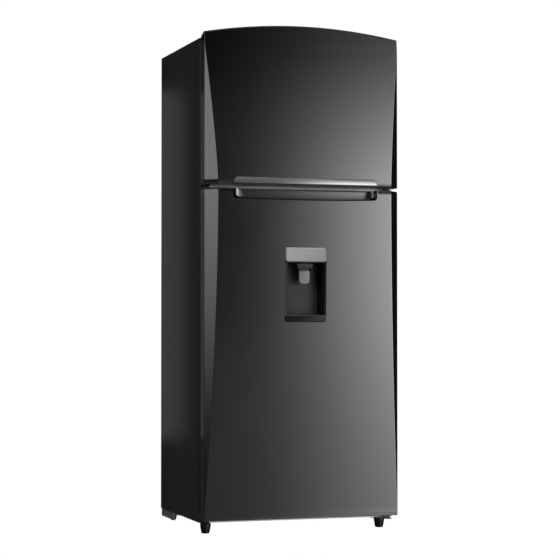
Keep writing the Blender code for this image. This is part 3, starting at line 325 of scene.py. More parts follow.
def shell(rings, axis, steps=6, bm=None):
    """Closed body through rounded rectangles. A ring is (x0, z0, x1, z1, radius, level)."""
    loops = []
    for x0, z0, x1, z1, radius, level in rings:
        outline = rounded(x0, z0, x1, z1, radius, steps)
        loops.append([place(p, axis, level) for p in outline])
    return loft(loops, bm=bm)


def turned(profile, centre, axis, steps=32, bm=None):
    """Turn (radius, level) points around an axis through centre."""
    loops = []
    for radius, level in profile:
        loop = []
        for i in range(steps):
            a = math.tau * i / steps
            a1, b1 = radius * math.cos(a), radius * math.sin(a)
            offset = place((a1, b1), axis, level)
            loop.append([c + o for c, o in zip(centre, offset)])
        loops.append(loop)
    return loft(loops, bm=bm)


def tube(points, radius, sides=10, bm=None):
    """Round tube along a smooth run of points."""
    points = [Vector(p) for p in points]
    up = Vector((0, 0, 1))
    loops = []
    for i, p in enumerate(points):
        along = (points[min(i + 1, len(points) - 1)] - points[max(i - 1, 0)]).normalized()
        if abs(along.dot(up)) > 0.95:
            up = Vector((1, 0, 0))
        side = along.cross(up).normalized()
        up = side.cross(along).normalized()
        ring = []
        for k in range(sides):
            a = math.tau * k / sides
            ring.append(p + side * (radius * math.cos(a)) + up * (radius * math.sin(a)))
        loops.append(ring)
    return loft(loops, bm=bm)


# ------------------------------------------------------------------------ door surfaces
def bulge(z):
    """How far the door front stands ahead of its side edges."""
    if z > (FRIDGE_HIGH + FREEZER_LOW) / 2:
        t = (z - FREEZER_LOW) / (FLAT_ABOVE - FREEZER_LOW)
        power = 1.30
    else:
        t = (FRIDGE_HIGH - z) / (FRIDGE_HIGH - FRIDGE_LOW)
        power = 1.78
    t = min(max(t, 0.0), 1.0)
    return max(BULGE * (1.0 - t**power), LEAST_BULGE)


def crest(x, distance):
    """Height of the freezer door's top: an arch in front that slopes down to the back."""
    top = CROWN - CROWN_DROP * x * x
    t = min(max((distance - DOOR_BACK) / (CREST_BACK - DOOR_BACK), 0.0), 1.0)
    return BACK_TOP + (top - BACK_TOP) * t


def corner_points(z, inset, back=DOOR_BACK):
    """Six plan corners; above the facets the whole front leans back at the slope it ended with."""
    b = bulge(z)
    lean = LEAN * max(z - LEAN_ABOVE, 0.0)
    side = HALF - inset
    knee = KNEE - SKEW * inset - lean
    run = HALF - FACET_RUN * b - SKEW * inset
    face = KNEE + b - inset - lean
    plan = [(-side, back), (-side, knee), (-run, face), (run, face), (side, knee), (side, back)]
    return [Vector(p) for p in plan]


def fillet(before, at, after, radius, room, steps=5):
    """Arc that replaces a plan corner, with a support point beyond each end."""
    u = (before - at).normalized()
    w = (after - at).normalized()
    half = u.angle(w) / 2
    reach = radius / math.tan(half)
    centre = at + (u + w).normalized() * radius / math.sin(half)
    start, end = at + u * reach - centre, at + w * reach - centre
    turn = math.atan2(start.x * end.y - start.y * end.x, start.dot(end))
    points = [at + u * (reach + room)]
    for a in spread(0.0, turn, steps):
        c, s = math.cos(a), math.sin(a)
        points.append(centre + Vector((c * start.x - s * start.y, s * start.x + c * start.y)))
    points.append(at + w * (reach + room))
    return points


def plan(z, inset=0.0, back=DOOR_BACK):
    """Columns of the door's plan outline as (x, distance ahead), from left to right."""
    corners = corner_points(z, inset, back)
    facet = (corners[2] - corners[1]).length
    radius = min(EDGE_RADIUS, 0.90 * facet / 0.83)
    room = min(0.0015, 0.3 * (facet - 0.83 * radius))
    points = [corners[0]]
    for i in (1, 2):
        points += fillet(corners[i - 1], corners[i], corners[i + 1], radius, room)
    last = points[-1]
    span = [Vector((x, last.y)) for x in spread(last.x, -last.x, 24)[1:-1]]
    mirrored = [Vector((-p.x, p.y)) for p in reversed(points)]
    return points + span + mirrored


def skin(rows, column_z):
    """Sheet skin through rows of (level, inset); column_z turns a level into a height."""
    outer_rows, inner_rows = [], []
    for level, inset in rows:
        for thick, store in ((0.0, outer_rows), (SHEET, inner_rows)):
            row = []
            for i, p in enumerate(plan(level, inset + thick)):
                z = column_z(level, p)
                if z != level:
                    p = plan(z, inset + thick)[i]
                    z = column_z(level, p)
                row.append((p.x, ahead(p.y), z))
            store.append(row)
    bm = bmesh.new()
    outer = [[bm.verts.new(p) for p in row] for row in outer_rows]
    inner = [[bm.verts.new(p) for p in row] for row in inner_rows]
    for grid in (outer, inner):
        for a, b in zip(grid, grid[1:]):
            for i in range(len(a) - 1):
                bm.faces.new((a[i], a[i + 1], b[i + 1], b[i]))
    for i in range(len(outer[0]) - 1):
        for row in (0, -1):
            bm.faces.new((outer[row][i], outer[row][i + 1], inner[row][i + 1], inner[row][i]))
    for a, b, c, d in zip(outer, outer[1:], inner, inner[1:]):
        for column in (0, -1):
            bm.faces.new((a[column], b[column], d[column], c[column]))
    return bm


def rolled(low, high, step, ends=(True, True)):
    """Rows of (level, inset) whose first and last edges roll inwards."""
    soft = ROLL * (1 - math.sqrt(0.5))
    count = max(2, round((high - low) / step))
    rows = [(z, 0.0) for z in spread(low + ROLL, high - ROLL, count)]
    start = [(low, ROLL), (low + soft, soft)] if ends[0] else [(low, 0.0)]
    end = [(high - soft, soft), (high, ROLL)] if ends[1] else [(high, 0.0)]
    return start + rows + end


def straight(level, _):
    """Column height for a skin whose rows stay level."""
    return level


def pin_hole(low, high):
    """Tool for a hinge pin's hole."""
    x, distance, radius = PIN
    return loose(turned([(radius, low), (radius, high)], (x, ahead(distance), 0), "Z", 24))


def block_of(low, high, inset=SHEET + GAP, back=0.0151):
    """Solid that fills the door's plan between two heights."""
    loops = []
    for z in (low, high):
        loops.append([(p.x, ahead(p.y), z) for p in corner_points(z, inset, back)])
    return loft(loops)


def notch():
    """Space for the top hinge's arm at the freezer door's rear corner."""
    outline = rounded(0.2835, ahead(0.0515), HALF + 0.02, FRONT + 0.02, 0.004)
    return loose(prism(outline, "Z", 1.6960, 1.80))


def pocket(grow, forward, high=1.19):
    """Scooped hand pocket at the fridge door's top edge, as a closed solid."""
    loops = []
    for t in [-1.0] + [math.sin(a) for a in spread(0.0, math.pi / 2, 14)]:
        curve = 1 - math.sqrt(max(0.0, 1 - max(t, 0.0) ** 2))
        half = POCKET_HALF - 0.027 * curve + grow
        floor = POCKET_FLOOR + 0.006 * curve - grow
        distance = FACE + (forward if t < 0 else -(POCKET_DEPTH + grow) * t)
        radius = 0.012
        bow = [(half * s, floor - 0.0040 * (1 - s * s)) for s in spread(0.9, -0.9, 12)]
        outline = (
            [(half, high)] + arc(half - radius, floor + radius, radius, 0, -90, 8) + bow
            + arc(-half + radius, floor + radius, radius, -90, -180, 8) + [(-half, high)]
        )
        loops.append([(x, ahead(distance), z) for x, z in outline])
    return loft(loops)


# ---------------------------------------------------------------- dispenser's own frame
DISPENSER_MIDDLE = (DISPENSER_LOW + DISPENSER_HIGH) / 2
SLOPE = math.atan2(bulge(DISPENSER_HIGH) - bulge(DISPENSER_LOW), DISPENSER_HIGH - DISPENSER_LOW)
DISPENSER_FACE = KNEE + (bulge(DISPENSER_HIGH) + bulge(DISPENSER_LOW)) / 2
TILT = (
    Matrix.Translation((0, ahead(DISPENSER_FACE), DISPENSER_MIDDLE))
    @ Matrix.Rotation(SLOPE, 4, "X")
)


def tilted(bm):
    """Move a mesh from the dispenser's own frame to the sloping door front."""
    bmesh.ops.transform(bm, matrix=TILT, verts=bm.verts)
    return bm


def dz(z):
    """Height in the dispenser's own frame."""
    return z - DISPENSER_MIDDLE


def dispenser_space(grow):
    """Tool for the dispenser's opening in the door skin."""
    h = DISPENSER_HALF + grow
    low, high = dz(DISPENSER_LOW) - grow, dz(DISPENSER_HIGH) + grow
    ring = (-h, low, h, high, 0.009 + grow)
    return loose(tilted(shell([(*ring, -0.03), (*ring, 0.0595 + grow)], "Y")))


# --------------------------------------------------------------------- freezer door
def freezer_door_skin():
    """Painted front whose upper rows bend to follow the arch."""
    last_row, blend_from, clear = 1.7300, 1.600, 0.0002
    rows = rolled(FREEZER_LOW + LIP + clear, last_row, ROW_STEP, (True, False))

    def height(level, p):
        if level <= blend_from:
            return level
        t = (level - blend_from) / (last_row - blend_from)
        return blend_from + (crest(p.x, p.y) - LIP - clear - blend_from) * t
    panel = piece(
        "freezer_door_skin", skin(rows, height), "black_paint", "freezer_door",
        replaces=("freezer_door_panel",),
    )
    return combine(panel, [notch()])


def freezer_door_crown():
    """Black end cap that follows the arch, with a rounded crest."""
    count = len(plan(CROWN))
    columns = [plan(crest(plan(CROWN)[i].x, 1.0) - 0.002)[i] for i in range(1, count - 1)]
    xs = [-HALF] + [p.x for p in columns] + [HALF]
    fronts = [columns[0].y - 0.001] + [p.y for p in columns] + [columns[-1].y - 0.001]
    soft, under, rear = 0.0016, 1.6830, DOOR_BACK + 0.0022
    loops = []
    for x, front in zip(xs, fronts):
        top = crest(x, 1.0) - TRACE
        profile = [(front, top - LIP)]
        profile += [(front - soft + d, top - soft + z) for d, z in arc(0, 0, soft, 0, 90, 5)]
        profile += [(CREST_BACK + 0.003, top), (CREST_BACK, top - 0.0003)]
        profile += [(d, crest(x, d) - TRACE) for d in (CREST_BACK - 0.004, 0.030)]
        profile += [(rear, BACK_TOP - TRACE), (rear, under)]
        profile += [(front - 0.0012, under), (front - 0.0012, top - LIP)]
        loops.append([(x, ahead(d), z) for d, z in profile])
    cap = piece(
        "freezer_door_crown", loft(loops), "black_plastic", "freezer_door",
        material="satin_black", replaces=("freezer_door_top_cap",),
    )
    return combine(cap, [notch(), pin_hole(1.6835, 1.71)])


def freezer_door_foam():
    """Foam core, kept inside the leaning front, with the finger groove."""
    levels = [1.2064] + spread(1.22, 1.66, 9) + [1.6795]
    loops = [[(p.x, ahead(p.y), z) for p in corner_points(z, 0.0016, 0.0152)] for z in levels]
    foam = piece("freezer_foam_core", loft(loops), "foam", "freezer_door",
                 replaces=("freezer_door_foam",))
    y0, y1 = ahead(FACE - 0.0232), ahead(FACE - 0.0488)
    rings = [(-0.2468, y0, 0.2468, y1, 0.0098, 1.18), (-0.2468, y0, 0.2468, y1, 0.0098, 1.2138)]
    return combine(foam, [loose(shell(rings, "Z"))])


def door_lip(name, low, high, body, tools=()):
    """Thin band of black end cap that shows past the skin's edge."""
    rows = [(low, 0.0007), (low + 0.0007, 0.0), (high - 0.0002, 0.0), (high, 0.0002)]
    lip = piece(name, skin(rows, straight), "black_plastic", body, material="satin_black")
    return combine(lip, list(tools)) if tools else lip


def trim_outline(low, high, half, radius):
    return (
        [(half, low)] + arc(half - radius, high - radius, radius, 0, 90, 10)
        + arc(-half + radius, high - radius, radius, 90, 180, 10) + [(-half, low)]
    )


def handle():
    """Silver plate on the freezer door's lower edge, on a black base with a finger grip."""
    lean = 0.0008 / (TRIM_HIGH - TRIM_LOW)

    def ring(distance, low, grow):
        outline = trim_outline(low, TRIM_HIGH + grow, HANDLE_HALF + grow, 0.0170 + grow)
        return [(x, ahead(distance - lean * (z - TRIM_LOW)), z) for x, z in outline]
    proud = FACE + TRIM_PROUD
    silver = [ring(FACE + 0.0013, SILVER_LOW, 0.0)]
    silver += [ring(proud - 0.0006, SILVER_LOW, 0.0)]
    silver += [ring(proud - 0.0002, SILVER_LOW + 0.0002, -0.0002)]
    silver += [ring(proud, SILVER_LOW + 0.0006, -0.0007)]
    piece("grip_plate", loft(silver), "silver_trim", "freezer_door", replaces=("handle_trim",))
    edge = 0.0009
    bm = loft([
        ring(FACE + 0.0002, TRIM_LOW + 0.0002, edge), ring(FACE + 0.0011, TRIM_LOW + 0.0002, edge),
        ring(FACE + 0.0012, TRIM_LOW + 0.0004, edge - 0.0002),
    ])
    nose = [
        (ahead(FACE + 0.0012), SILVER_LOW - 0.0002), (ahead(proud - 0.0004), SILVER_LOW - 0.0002),
        (ahead(proud - 0.0001), SILVER_LOW - 0.0008), (ahead(proud - 0.0001), TRIM_LOW + 0.0012),
        (ahead(proud - 0.0010), TRIM_LOW), (ahead(FACE - 0.0215), TRIM_LOW),
        (ahead(FACE - 0.0225), TRIM_LOW + 0.0004), (ahead(FACE - 0.0225), TRIM_LOW + 0.0014),
        (ahead(FACE + 0.0001), TRIM_LOW + 0.0014), (ahead(FACE + 0.0004), TRIM_LOW + 0.0030),
    ]
    prism(nose, "X", -HANDLE_HALF, HANDLE_HALF, bm)
    piece("grip_base", bm, "black_plastic", "freezer_door", replaces=("handle_trim",))


# ----------------------------------------------------------------------- fridge door
def fridge_door_skin():
    """Painted front with openings for the pocket and the dispenser."""
    rows = rolled(FRIDGE_LOW + 0.0015, FRIDGE_HIGH - LIP - 0.0002, ROW_STEP)
    panel = piece(
        "fridge_door_skin", skin(rows, straight), "black_paint", "fridge_door",
        replaces=("fridge_door_panel",),
    )
    return combine(panel, [loose(pocket(POCKET_ROOM, 0.02)), dispenser_space(GAP)])


def hand_pocket():
    """Black top cap with the scooped pocket."""
    high = FRIDGE_HIGH - GAP
    cap = piece(
        "hand_pocket", block_of(1.1620, high), "black_plastic", "fridge_door",
        material="black_paint", replaces=("fridge_door_top_cap",),
    )
    walls = loose(pocket(POCKET_WALL, 0.0008))
    trim = loose(prism([(-0.4, -1), (0.4, -1), (0.4, 1), (-0.4, 1)], "Z", high, 1.3))
    combine(walls, [trim])
    combine(cap, [walls], "UNION")
    return combine(cap, [loose(pocket(0.0, 0.02)), pin_hole(1.16, 1.2)])


def pocket_lip():
    """Satin rim along the top of the pocket's rear wall."""
    half, deep, top = 0.2325, FACE - POCKET_DEPTH, FRIDGE_HIGH - GAP
    outline = [
        (ahead(deep), FRIDGE_HIGH - 0.0052), (ahead(deep + 0.0012), FRIDGE_HIGH - 0.0046),
        (ahead(deep + 0.0014), FRIDGE_HIGH - 0.0012), (ahead(deep + 0.0006), top),
        (ahead(deep), top),
    ]
    piece("pocket_lip", prism(outline, "X", -half, half), "black_plastic", "fridge_door",
          material="satin_black")


# -------------------------------------------------------------------------- dispenser
def dispenser_niche():
    """Recess with sloping walls and a flange whose inner edge is rounded."""
    h = DISPENSER_HALF
    low, high = dz(DISPENSER_LOW), dz(FASCIA_LOW) - GAP
    rings = [
        (-h + 0.0165, low + 0.024, h - 0.0165, high - 0.004, 0.014, RECESS),
        (-h + 0.0140, low + 0.018, h - 0.0140, high - 0.0038, 0.0135, RECESS - 0.004),
        (-h + 0.0095, low + 0.008, h - 0.0095, high - 0.0034, 0.011, 0.032),
        (-h + 0.0075, low + 0.004, h - 0.0075, high - 0.003, 0.009, 0.018),
        (-h + 0.0078, low + 0.0039, h - 0.0078, high - 0.0029, 0.008, 0.0030),
        (-h + 0.0074, low + 0.0037, h - 0.0074, high - 0.0027, 0.007, 0.0008),
        (-h + 0.0066, low + 0.0034, h - 0.0066, high - 0.0025, 0.0068, -0.0004),
        (-h + 0.0054, low + 0.0030, h - 0.0054, high - 0.0022, 0.0065, -0.0010),
        (-h + 0.0014, low + 0.0014, h - 0.0014, high - 0.0010, 0.0075, -0.0015),
        (-h, low, h, high, 0.009, -0.0006),
        (-h, low, h, high, 0.009, 0.018),
        (-h + 0.010, low + 0.001, h - 0.010, high - 0.001, 0.012, 0.0580),
    ]
    niche = piece(
        "dispenser_niche", tilted(shell(rings, "Y", 8)), "black_plastic", "fridge_door",
        material="satin_black", replaces=("dispenser_housing",),
    )
    slot = prism([(-0.0066, 0.0129), (0.0066, 0.0129), (0.0066, 0.0261), (-0.0066, 0.0261)],
                 "Z", dz(0.9150), dz(0.9400))
    combine(niche, [loose(tilted(slot))])


def dispenser_back_wall():
    """Flat rear wall whose right edge flares towards the tray."""
    left_edge, right_edge = -DISPENSER_HALF + 0.0140, DISPENSER_HALF
    top, low = dz(FASCIA_LOW) - GAP - 0.0045, dz(DISPENSER_LOW) + 0.0180

    def wall(inset, level):
        right = [(right_edge - 0.0190 - inset, top - inset),
                 (right_edge - 0.0180 - inset, dz(0.8700)),
                 (right_edge - 0.0150 - inset, dz(0.8200)),
                 (right_edge - 0.0110 - inset, low + inset)]
        left = [(left_edge + inset, low + inset), (left_edge + inset, top - inset)]
        return [(x, level, z) for x, z in right + left]
    # The wall's colour is its black plastic lifted to dark grey, a painted reflection of the light
    # on it.
    piece("dispenser_back_wall", tilted(loft([
        wall(0.0012, RECESS - 0.0034), wall(0.0004, RECESS - 0.0031), wall(0.0, RECESS - 0.0022),
        wall(0.0, RECESS + 0.0010),
    ])), "black_plastic", "fridge_door", material="niche_black_painted_reflection")


def dispenser_fascia():
    """Silver plate above the niche, with a bevelled rim."""
    h = DISPENSER_HALF
    low, high = dz(FASCIA_LOW), dz(DISPENSER_HIGH)
    rings = [
        (-h + 0.0046, low + 0.0046, h - 0.0046, high - 0.0046, 0.0060, -0.0034),
        (-h + 0.0038, low + 0.0038, h - 0.0038, high - 0.0038, 0.0065, -0.0035),
        (-h + 0.0008, low + 0.0008, h - 0.0008, high - 0.0008, 0.0083, -0.0022),
        (-h, low, h, high, 0.0090, -0.0012),
        (-h, low, h, high, 0.0090, 0.0120),
    ]
    piece("dispenser_fascia_plate", tilted(shell(rings, "Y", 8)), "silver_trim", "fridge_door",
          material="silver_paint", replaces=("dispenser_fascia",))


def nozzle():
    """Tap body: nozzle block, riser, two ears for the lever and the tube to the tank."""
    block = [(-0.0305, dz(0.9238)), (0.0305, dz(0.9238)), (0.0240, dz(0.9085)),
             (-0.0240, dz(0.9085))]
    bm = prism(block, "Y", 0.010, 0.044)
    prism([(-0.006, 0.0135), (0.006, 0.0135), (0.006, 0.0255), (-0.006, 0.0255)], "Z",
          dz(0.920), dz(0.9570), bm)
    ear = [(0.0150, dz(0.9130))] + arc(AXLE_DEEP, dz(AXLE_Z), 0.0070, 180, 360, 10)
    for x in (-0.0230, 0.0230):
        prism(ear + [(0.0290, dz(0.9130))], "X", x - 0.0015, x + 0.0015, bm)
    tilted(bm)
    tube_z = DISPENSER_HIGH - 0.030
    turned([(0.0090, ahead(0.0765)), (0.0090, ahead(-0.006))], (0, 0, tube_z), "Y", 28, bm)
    soften(piece("dispenser_nozzle", bm, "black_plastic", "fridge_door",
                 replaces=("dispenser_valve",)), 0.0006, 2)


def lever():
    """Ribbed paddle with a raised left edge, its neck with the axle, and two cheeks."""
    half, top, low = 0.0190, dz(0.8990), dz(0.8545)

    def ring(inset, level):
        h, r = half - inset, 0.0130 - inset
        outline = (
            [(h, top - inset)] + arc(h - r, low + inset + r, r, 0, -90, 8)
            + arc(-h + r, low + inset + r, r, -90, -180, 8) + [(-h, top - inset)]
        )
        return [(x, level, z) for x, z in outline]
    bm = loft([
        ring(0.0020, 0.0250), ring(0.0006, 0.0240), ring(0.0, 0.0225),
        ring(0.0, 0.0172), ring(0.0008, 0.0158), ring(0.0022, 0.0154),
    ])
    for i in range(4):
        z = top - 0.0070 - i * 0.0080
        shell([
            (0.0005, z - 0.0036, 0.0165, z, 0.0014, 0.0156),
            (0.0005, z - 0.0036, 0.0165, z, 0.0014, 0.0148),
            (0.0013, z - 0.0028, 0.0157, z - 0.0008, 0.0009, 0.0138),
        ], "Y", 4, bm)
    shell([
        (-0.0182, low + 0.0110, -0.0128, top - 0.0030, 0.0024, 0.0156),
        (-0.0182, low + 0.0110, -0.0128, top - 0.0030, 0.0024, 0.0146),
        (-0.0172, low + 0.0122, -0.0138, top - 0.0042, 0.0016, 0.0134),
    ], "Y", 5, bm)
    piece("dispenser_paddle", tilted(bm), "lever_grey", "lever", replaces=("dispenser_lever",))
    neck = shell([
        (-0.0185, dz(0.8900), 0.0185, dz(0.9080), 0.0030, 0.0256),
        (-0.0185, dz(0.8900), 0.0185, dz(0.9080), 0.0030, 0.0190),
        (-0.0175, dz(0.8910), 0.0175, dz(0.9070), 0.0022, 0.0180),
    ], "Y", 5)
    axle = [(0.0020, -0.0250), (0.0020, 0.0250)]
    turned(axle, (0, AXLE_DEEP, dz(AXLE_Z)), "X", 20, neck)
    piece("paddle_neck", tilted(neck), "black_plastic", "lever")
    cheeks = bmesh.new()
    outline = [(0.0243, top - 0.0080), (0.0300, top - 0.0120)]
    outline += arc(0.0250, low + 0.0170, 0.0100, 30, -60, 6) + [(0.0243, low + 0.0060)]
    for x in (-0.0168, 0.0168):
        prism(outline, "X", x - 0.0008, x + 0.0008, cheeks)
    soften(piece("paddle_cheeks", tilted(cheeks), "black_plastic", "lever"), 0.0004, 2)


def tray_drawer():
    """Pull-out drip tray: front plate with a rounded top edge, a shallow well and cross bars."""
    h = DISPENSER_HALF
    half = h - 0.0140
    low, high = dz(DISPENSER_LOW) + 0.0052, dz(0.7475)
    bm = shell([
        (-half, -0.0030, half, 0.0180, 0.004, low), (-half, -0.0030, half, 0.0180, 0.004, high),
        (-half + 0.002, 0.001, half - 0.002, 0.0160, 0.003, high),
        (-half + 0.002, 0.001, half - 0.002, 0.0160, 0.003, low + 0.002),
    ], "Z", 5)
    x0, z0 = -h + 0.0005, low - 0.0047
    shell([
        (x0 + 0.0012, z0 + 0.0012, -x0 - 0.0012, high - 0.0010, 0.0070, -0.0040),
        (x0, z0, -x0, high, 0.0080, -0.0032), (x0, z0, -x0, high, 0.0080, -0.0016),
    ], "Y", 8, bm)
    for i in range(9):
        x = -0.048 + i * 0.012
        shell([
            (x - 0.0016, 0.0002, x + 0.0016, 0.0168, 0.0007, high - 0.0020),
            (x - 0.0012, 0.0002, x + 0.0012, 0.0168, 0.0005, high),
        ], "Z", 2, bm)
    piece("drip_tray_drawer", tilted(bm), "black_plastic", "drip_tray", material="satin_black",
          replaces=("drip_tray",))


# ---------------------------------------------------------------------------- cabinet
def side_sheet(side, sign):
    """Folded side sheet with rounded front and rear corners."""
    flange, rear, soft = 0.034, 0.014, 0.0042

    def run(offset):
        out, back, r = HALF - offset, BACK - offset, soft - offset
        front = behind(offset)
        return (
            [(HALF - flange, front)] + arc(out - r, front + r, r, -90, 0, 6)
            + arc(out - r, back - r, r, 0, 90, 6) + [(HALF - rear, back)]
        )
    outline = [(sign * x, y) for x, y in run(0.0) + run(SHEET)[::-1]]
    body = prism(outline, "Z", CABINET_LOW, CABINET_HIGH)
    name = "side_sheet_" + side
    sheet = piece(name, body, "side_paint", "cabinet", replaces=("side_panel_" + side,))
    if sign < 0:
        x, z = -0.3405, 1.080   # the lamp switch
        hole = turned([(0.0045, behind(-0.01)), (0.0045, behind(0.005))], (x, 0, z), "Y", 24)
        combine(sheet, [loose(hole)])
    return sheet


# ----------------------------------------------------------------- cabinet's details
def shelf_trims():
    """Moulded strip along the front of each glass shelf, and the liner's ledges under it."""
    for node, wall in (
        ("fridge_shelf_upper", 0.302), ("fridge_shelf_lower", 0.302), ("crisper_cover", 0.302),
        ("freezer_shelf", 0.290),
    ):
        low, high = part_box(node)
        y, z0, z1 = low.y, low.z, high.z
        section = [
            (y - 0.0012, z0 - 0.0052), (y + 0.0022, z0 - 0.0060), (y + 0.0045, z0 - 0.0016),
            (y + 0.0150, z0 - 0.0012), (y + 0.0150, z0 - 0.0003), (y - 0.0003, z0 - 0.0003),
            (y - 0.0003, z1 + 0.0003), (y + 0.0110, z1 + 0.0003), (y + 0.0110, z1 + 0.0012),
            (y, z1 + 0.0020), (y - 0.0022, z1 + 0.0010), (y - 0.0028, z0 - 0.0020),
        ]
        strip = piece(node + "_trim", prism(section, "X", low.x + 0.003, high.x - 0.003),
                      "liner_white", "cabinet")
        soften(strip, 0.0005, 2)
        ledges = bmesh.new()
        for sign in (-1, 1):
            inner, outer = sign * (wall - 0.0170), sign * (wall - 0.0004)
            section = [
                (outer, z0 - 0.0014), (inner, z0 - 0.0014), (inner, z0 - 0.0042),
                (outer, z0 - 0.0110),
            ]
            prism(section, "Y", y + 0.018, high.y - 0.004, ledges)
        rails = piece(node + "_ledges", ledges, "liner_white", "cabinet")
        soften(rails, 0.0008, 3)


def screws(name, spots, axis, level, radius, body, tall=0.0010):
    """Pan heads with a cross recess. A spot is the two coordinates across the axis."""
    heads = bmesh.new()
    profile = [
        (radius, 0.0), (radius, tall * 0.35), (radius * 0.86, tall * 0.75),
        (radius * 0.45, tall), (radius * 0.36, tall * 0.98), (radius * 0.20, tall * 0.25),
    ]
    flip = -1 if axis[0] == "-" else 1
    letter = axis[-1]
    for spot in spots:
        centre = place(spot, letter, 0.0)
        turned([(r, level + flip * h) for r, h in profile], centre, letter, 20, heads)
    return piece(name, heads, "zinc", body)


def rear_screws():
    """Screws of the rear cover, the rear panel and the bottom hinge."""
    low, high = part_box("rear_cover")
    spots = [(x, z) for x in (-0.322, -0.110, 0.110, 0.322)
             for z in (low.z + 0.012, high.z - 0.012)]
    screws("rear_cover_screws", spots, "Y", high.y, 0.0045, "cabinet")
    low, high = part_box("rear_panel")
    spots = [(x, z) for x in (-0.332, 0.332) for z in spread(low.z + 0.06, high.z - 0.04, 5)]
    screws("rear_panel_screws", spots, "Y", high.y, 0.0045, "cabinet")
    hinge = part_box("bottom_hinge")[0]
    spots = [(hinge.x + 0.016, -0.2125), (hinge.x + 0.050, -0.2125)]
    screws("bottom_hinge_screws", spots, "-Z", hinge.z, 0.0040, "cabinet")


def louvres():
    """Thin strips behind the rear cover's slots."""
    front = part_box("rear_cover")[0].y
    low, high = 0.1584, 0.2616
    bm = bmesh.new()
    for i in range(12):
        x = -0.24 + i * 0.030
        prism([(x - 0.0016, low), (x - 0.0004, low), (x - 0.0004, high), (x - 0.0016, high)],
              "Y", front - 0.0040, front - 0.0002, bm)
    soften(piece("rear_cover_louvres", bm, "zinc", "cabinet"), 0.0003, 2)


def inlet_pins():
    low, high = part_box("power_inlet")
    mid = (low + high) / 2
    pins = bmesh.new()
    for dx, dz_pin in ((-0.0042, -0.0022), (0.0042, -0.0022), (0.0, 0.0042)):
        x, z = mid.x + dx, mid.z + dz_pin
        shell([
            (x - 0.0010, z - 0.0020, x + 0.0010, z + 0.0020, 0.0004, high.y - 0.0158),
            (x - 0.0010, z - 0.0020, x + 0.0010, z + 0.0020, 0.0004, high.y - 0.0050),
            (x - 0.0006, z - 0.0015, x + 0.0006, z + 0.0015, 0.0003, high.y - 0.0042),
        ], "Y", 3, pins)
    piece("inlet_pins", pins, "zinc", "cabinet")


def machine_room():
    """Steel pipes and rubber grommets for the compressor."""
    low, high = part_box("compressor")
    x, y = -0.150, FRONT + 0.446
    top = high.z
    pipes = bmesh.new()
    for side, reach in ((-1, 0.055), (1, 0.030)):
        run = [(x + side * 0.020, y + 0.020, top - 0.012)]
        for a in spread(0, math.pi / 2, 8)[1:]:
            run.append((x + side * (0.020 + 0.012 * math.sin(a)), y + 0.020 + 0.004 * math.sin(a),
                        top - 0.012 + 0.010 * math.sin(2 * a) / 2))
        for t in spread(0.0, 1.0, 10)[1:]:
            run.append((x + side * (0.032 + reach * t), y + 0.024 + 0.010 * t,
                        top - 0.012 - 0.080 * t * t))
        tube(run, 0.0032, 12, pipes)
    piece("compressor_pipes", pipes, "zinc", "cabinet")
    feet = bmesh.new()
    z = low.z + 0.0143
    for sx in (-1, 1):
        for sy in (-1, 1):
            centre = (x + sx * 0.082, y + sy * 0.038, 0)
            turned([(0.0085, z), (0.0090, z + 0.002), (0.0070, z + 0.004), (0.0088, z + 0.006),
                    (0.0080, z + 0.008), (0.0045, z + 0.0085)], centre, "Z", 20, feet)
    piece("compressor_grommets", feet, "gasket_grey", "cabinet")


def levelling_foot(side):
    """Ribbed pad with a lock nut on a threaded stem."""
    low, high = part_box("levelling_foot_" + side)
    centre = ((low.x + high.x) / 2, (low.y + high.y) / 2, 0)
    profile = [(0.0112, 0.0), (0.0128, 0.0004), (0.0138, 0.0014), (0.0143, 0.0030)]
    profile += [(0.0181, 0.0240), (0.0185, 0.0262), (0.0185, 0.0318), (0.0178, 0.0338)]
    profile += [(0.0166, 0.0349), (0.0072, 0.0352), (0.0072, 0.0392), (0.0066, 0.0398)]
    z = 0.0400
    while z < high.z - 0.0024:
        profile += [(0.0040, z), (0.0047, z + 0.0006), (0.0047, z + 0.0008), (0.0040, z + 0.0014)]
        z += 0.0015
    profile += [(0.0036, high.z - 0.0002)]
    bm = turned(profile, centre, "Z", 32)
    for i in range(16):
        a = math.tau * i / 16
        x, y = centre[0] + 0.0181 * math.cos(a), centre[1] + 0.0181 * math.sin(a)
        turned([(0.0003, 0.0262), (0.0004, 0.0268), (0.0004, 0.0312), (0.0003, 0.0318)],
               (x, y, 0), "Z", 8, bm)
    piece("levelling_pad_" + side, bm, "black_plastic", "levelling_foot_" + side,
          material="satin_black", replaces=("levelling_foot_" + side,))


def thermostat_marks():
    """Raised dots round the dial, growing clockwise."""
    low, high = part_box("thermostat_knob")
    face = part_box("thermostat_housing")[0].y
    centre = (low + high) / 2
    dots = bmesh.new()
    for i in range(6):
        a = math.radians(205 - 46 * i)
        x, z = centre.x + 0.0195 * math.cos(a), centre.z + 0.0195 * math.sin(a)
        r = 0.0004 + 0.00016 * i
        turned([(r, face - 0.0001), (r * 0.9, face - 0.0004), (r * 0.4, face - 0.0005)],
               (x, 0, z), "Y", 14, dots)
    piece("dial_dots", dots, "lever_grey", "cabinet")


def tank_lid_grip():
    """Ribs across the water tank's lid."""
    low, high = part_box("water_tank_lid")
    y = (low.y + high.y) / 2
    top = high.z
    bm = bmesh.new()
    for i in range(5):
        x = -0.016 + i * 0.008
        shell([
            (x - 0.0012, y - 0.018, x + 0.0012, y + 0.018, 0.0011, top + 0.0002),
            (x - 0.0008, y - 0.0176, x + 0.0008, y + 0.0176, 0.0007, top + 0.0012),
        ], "Z", 4, bm)
    piece("tank_lid_ribs", bm, "liner_white", "fridge_door")


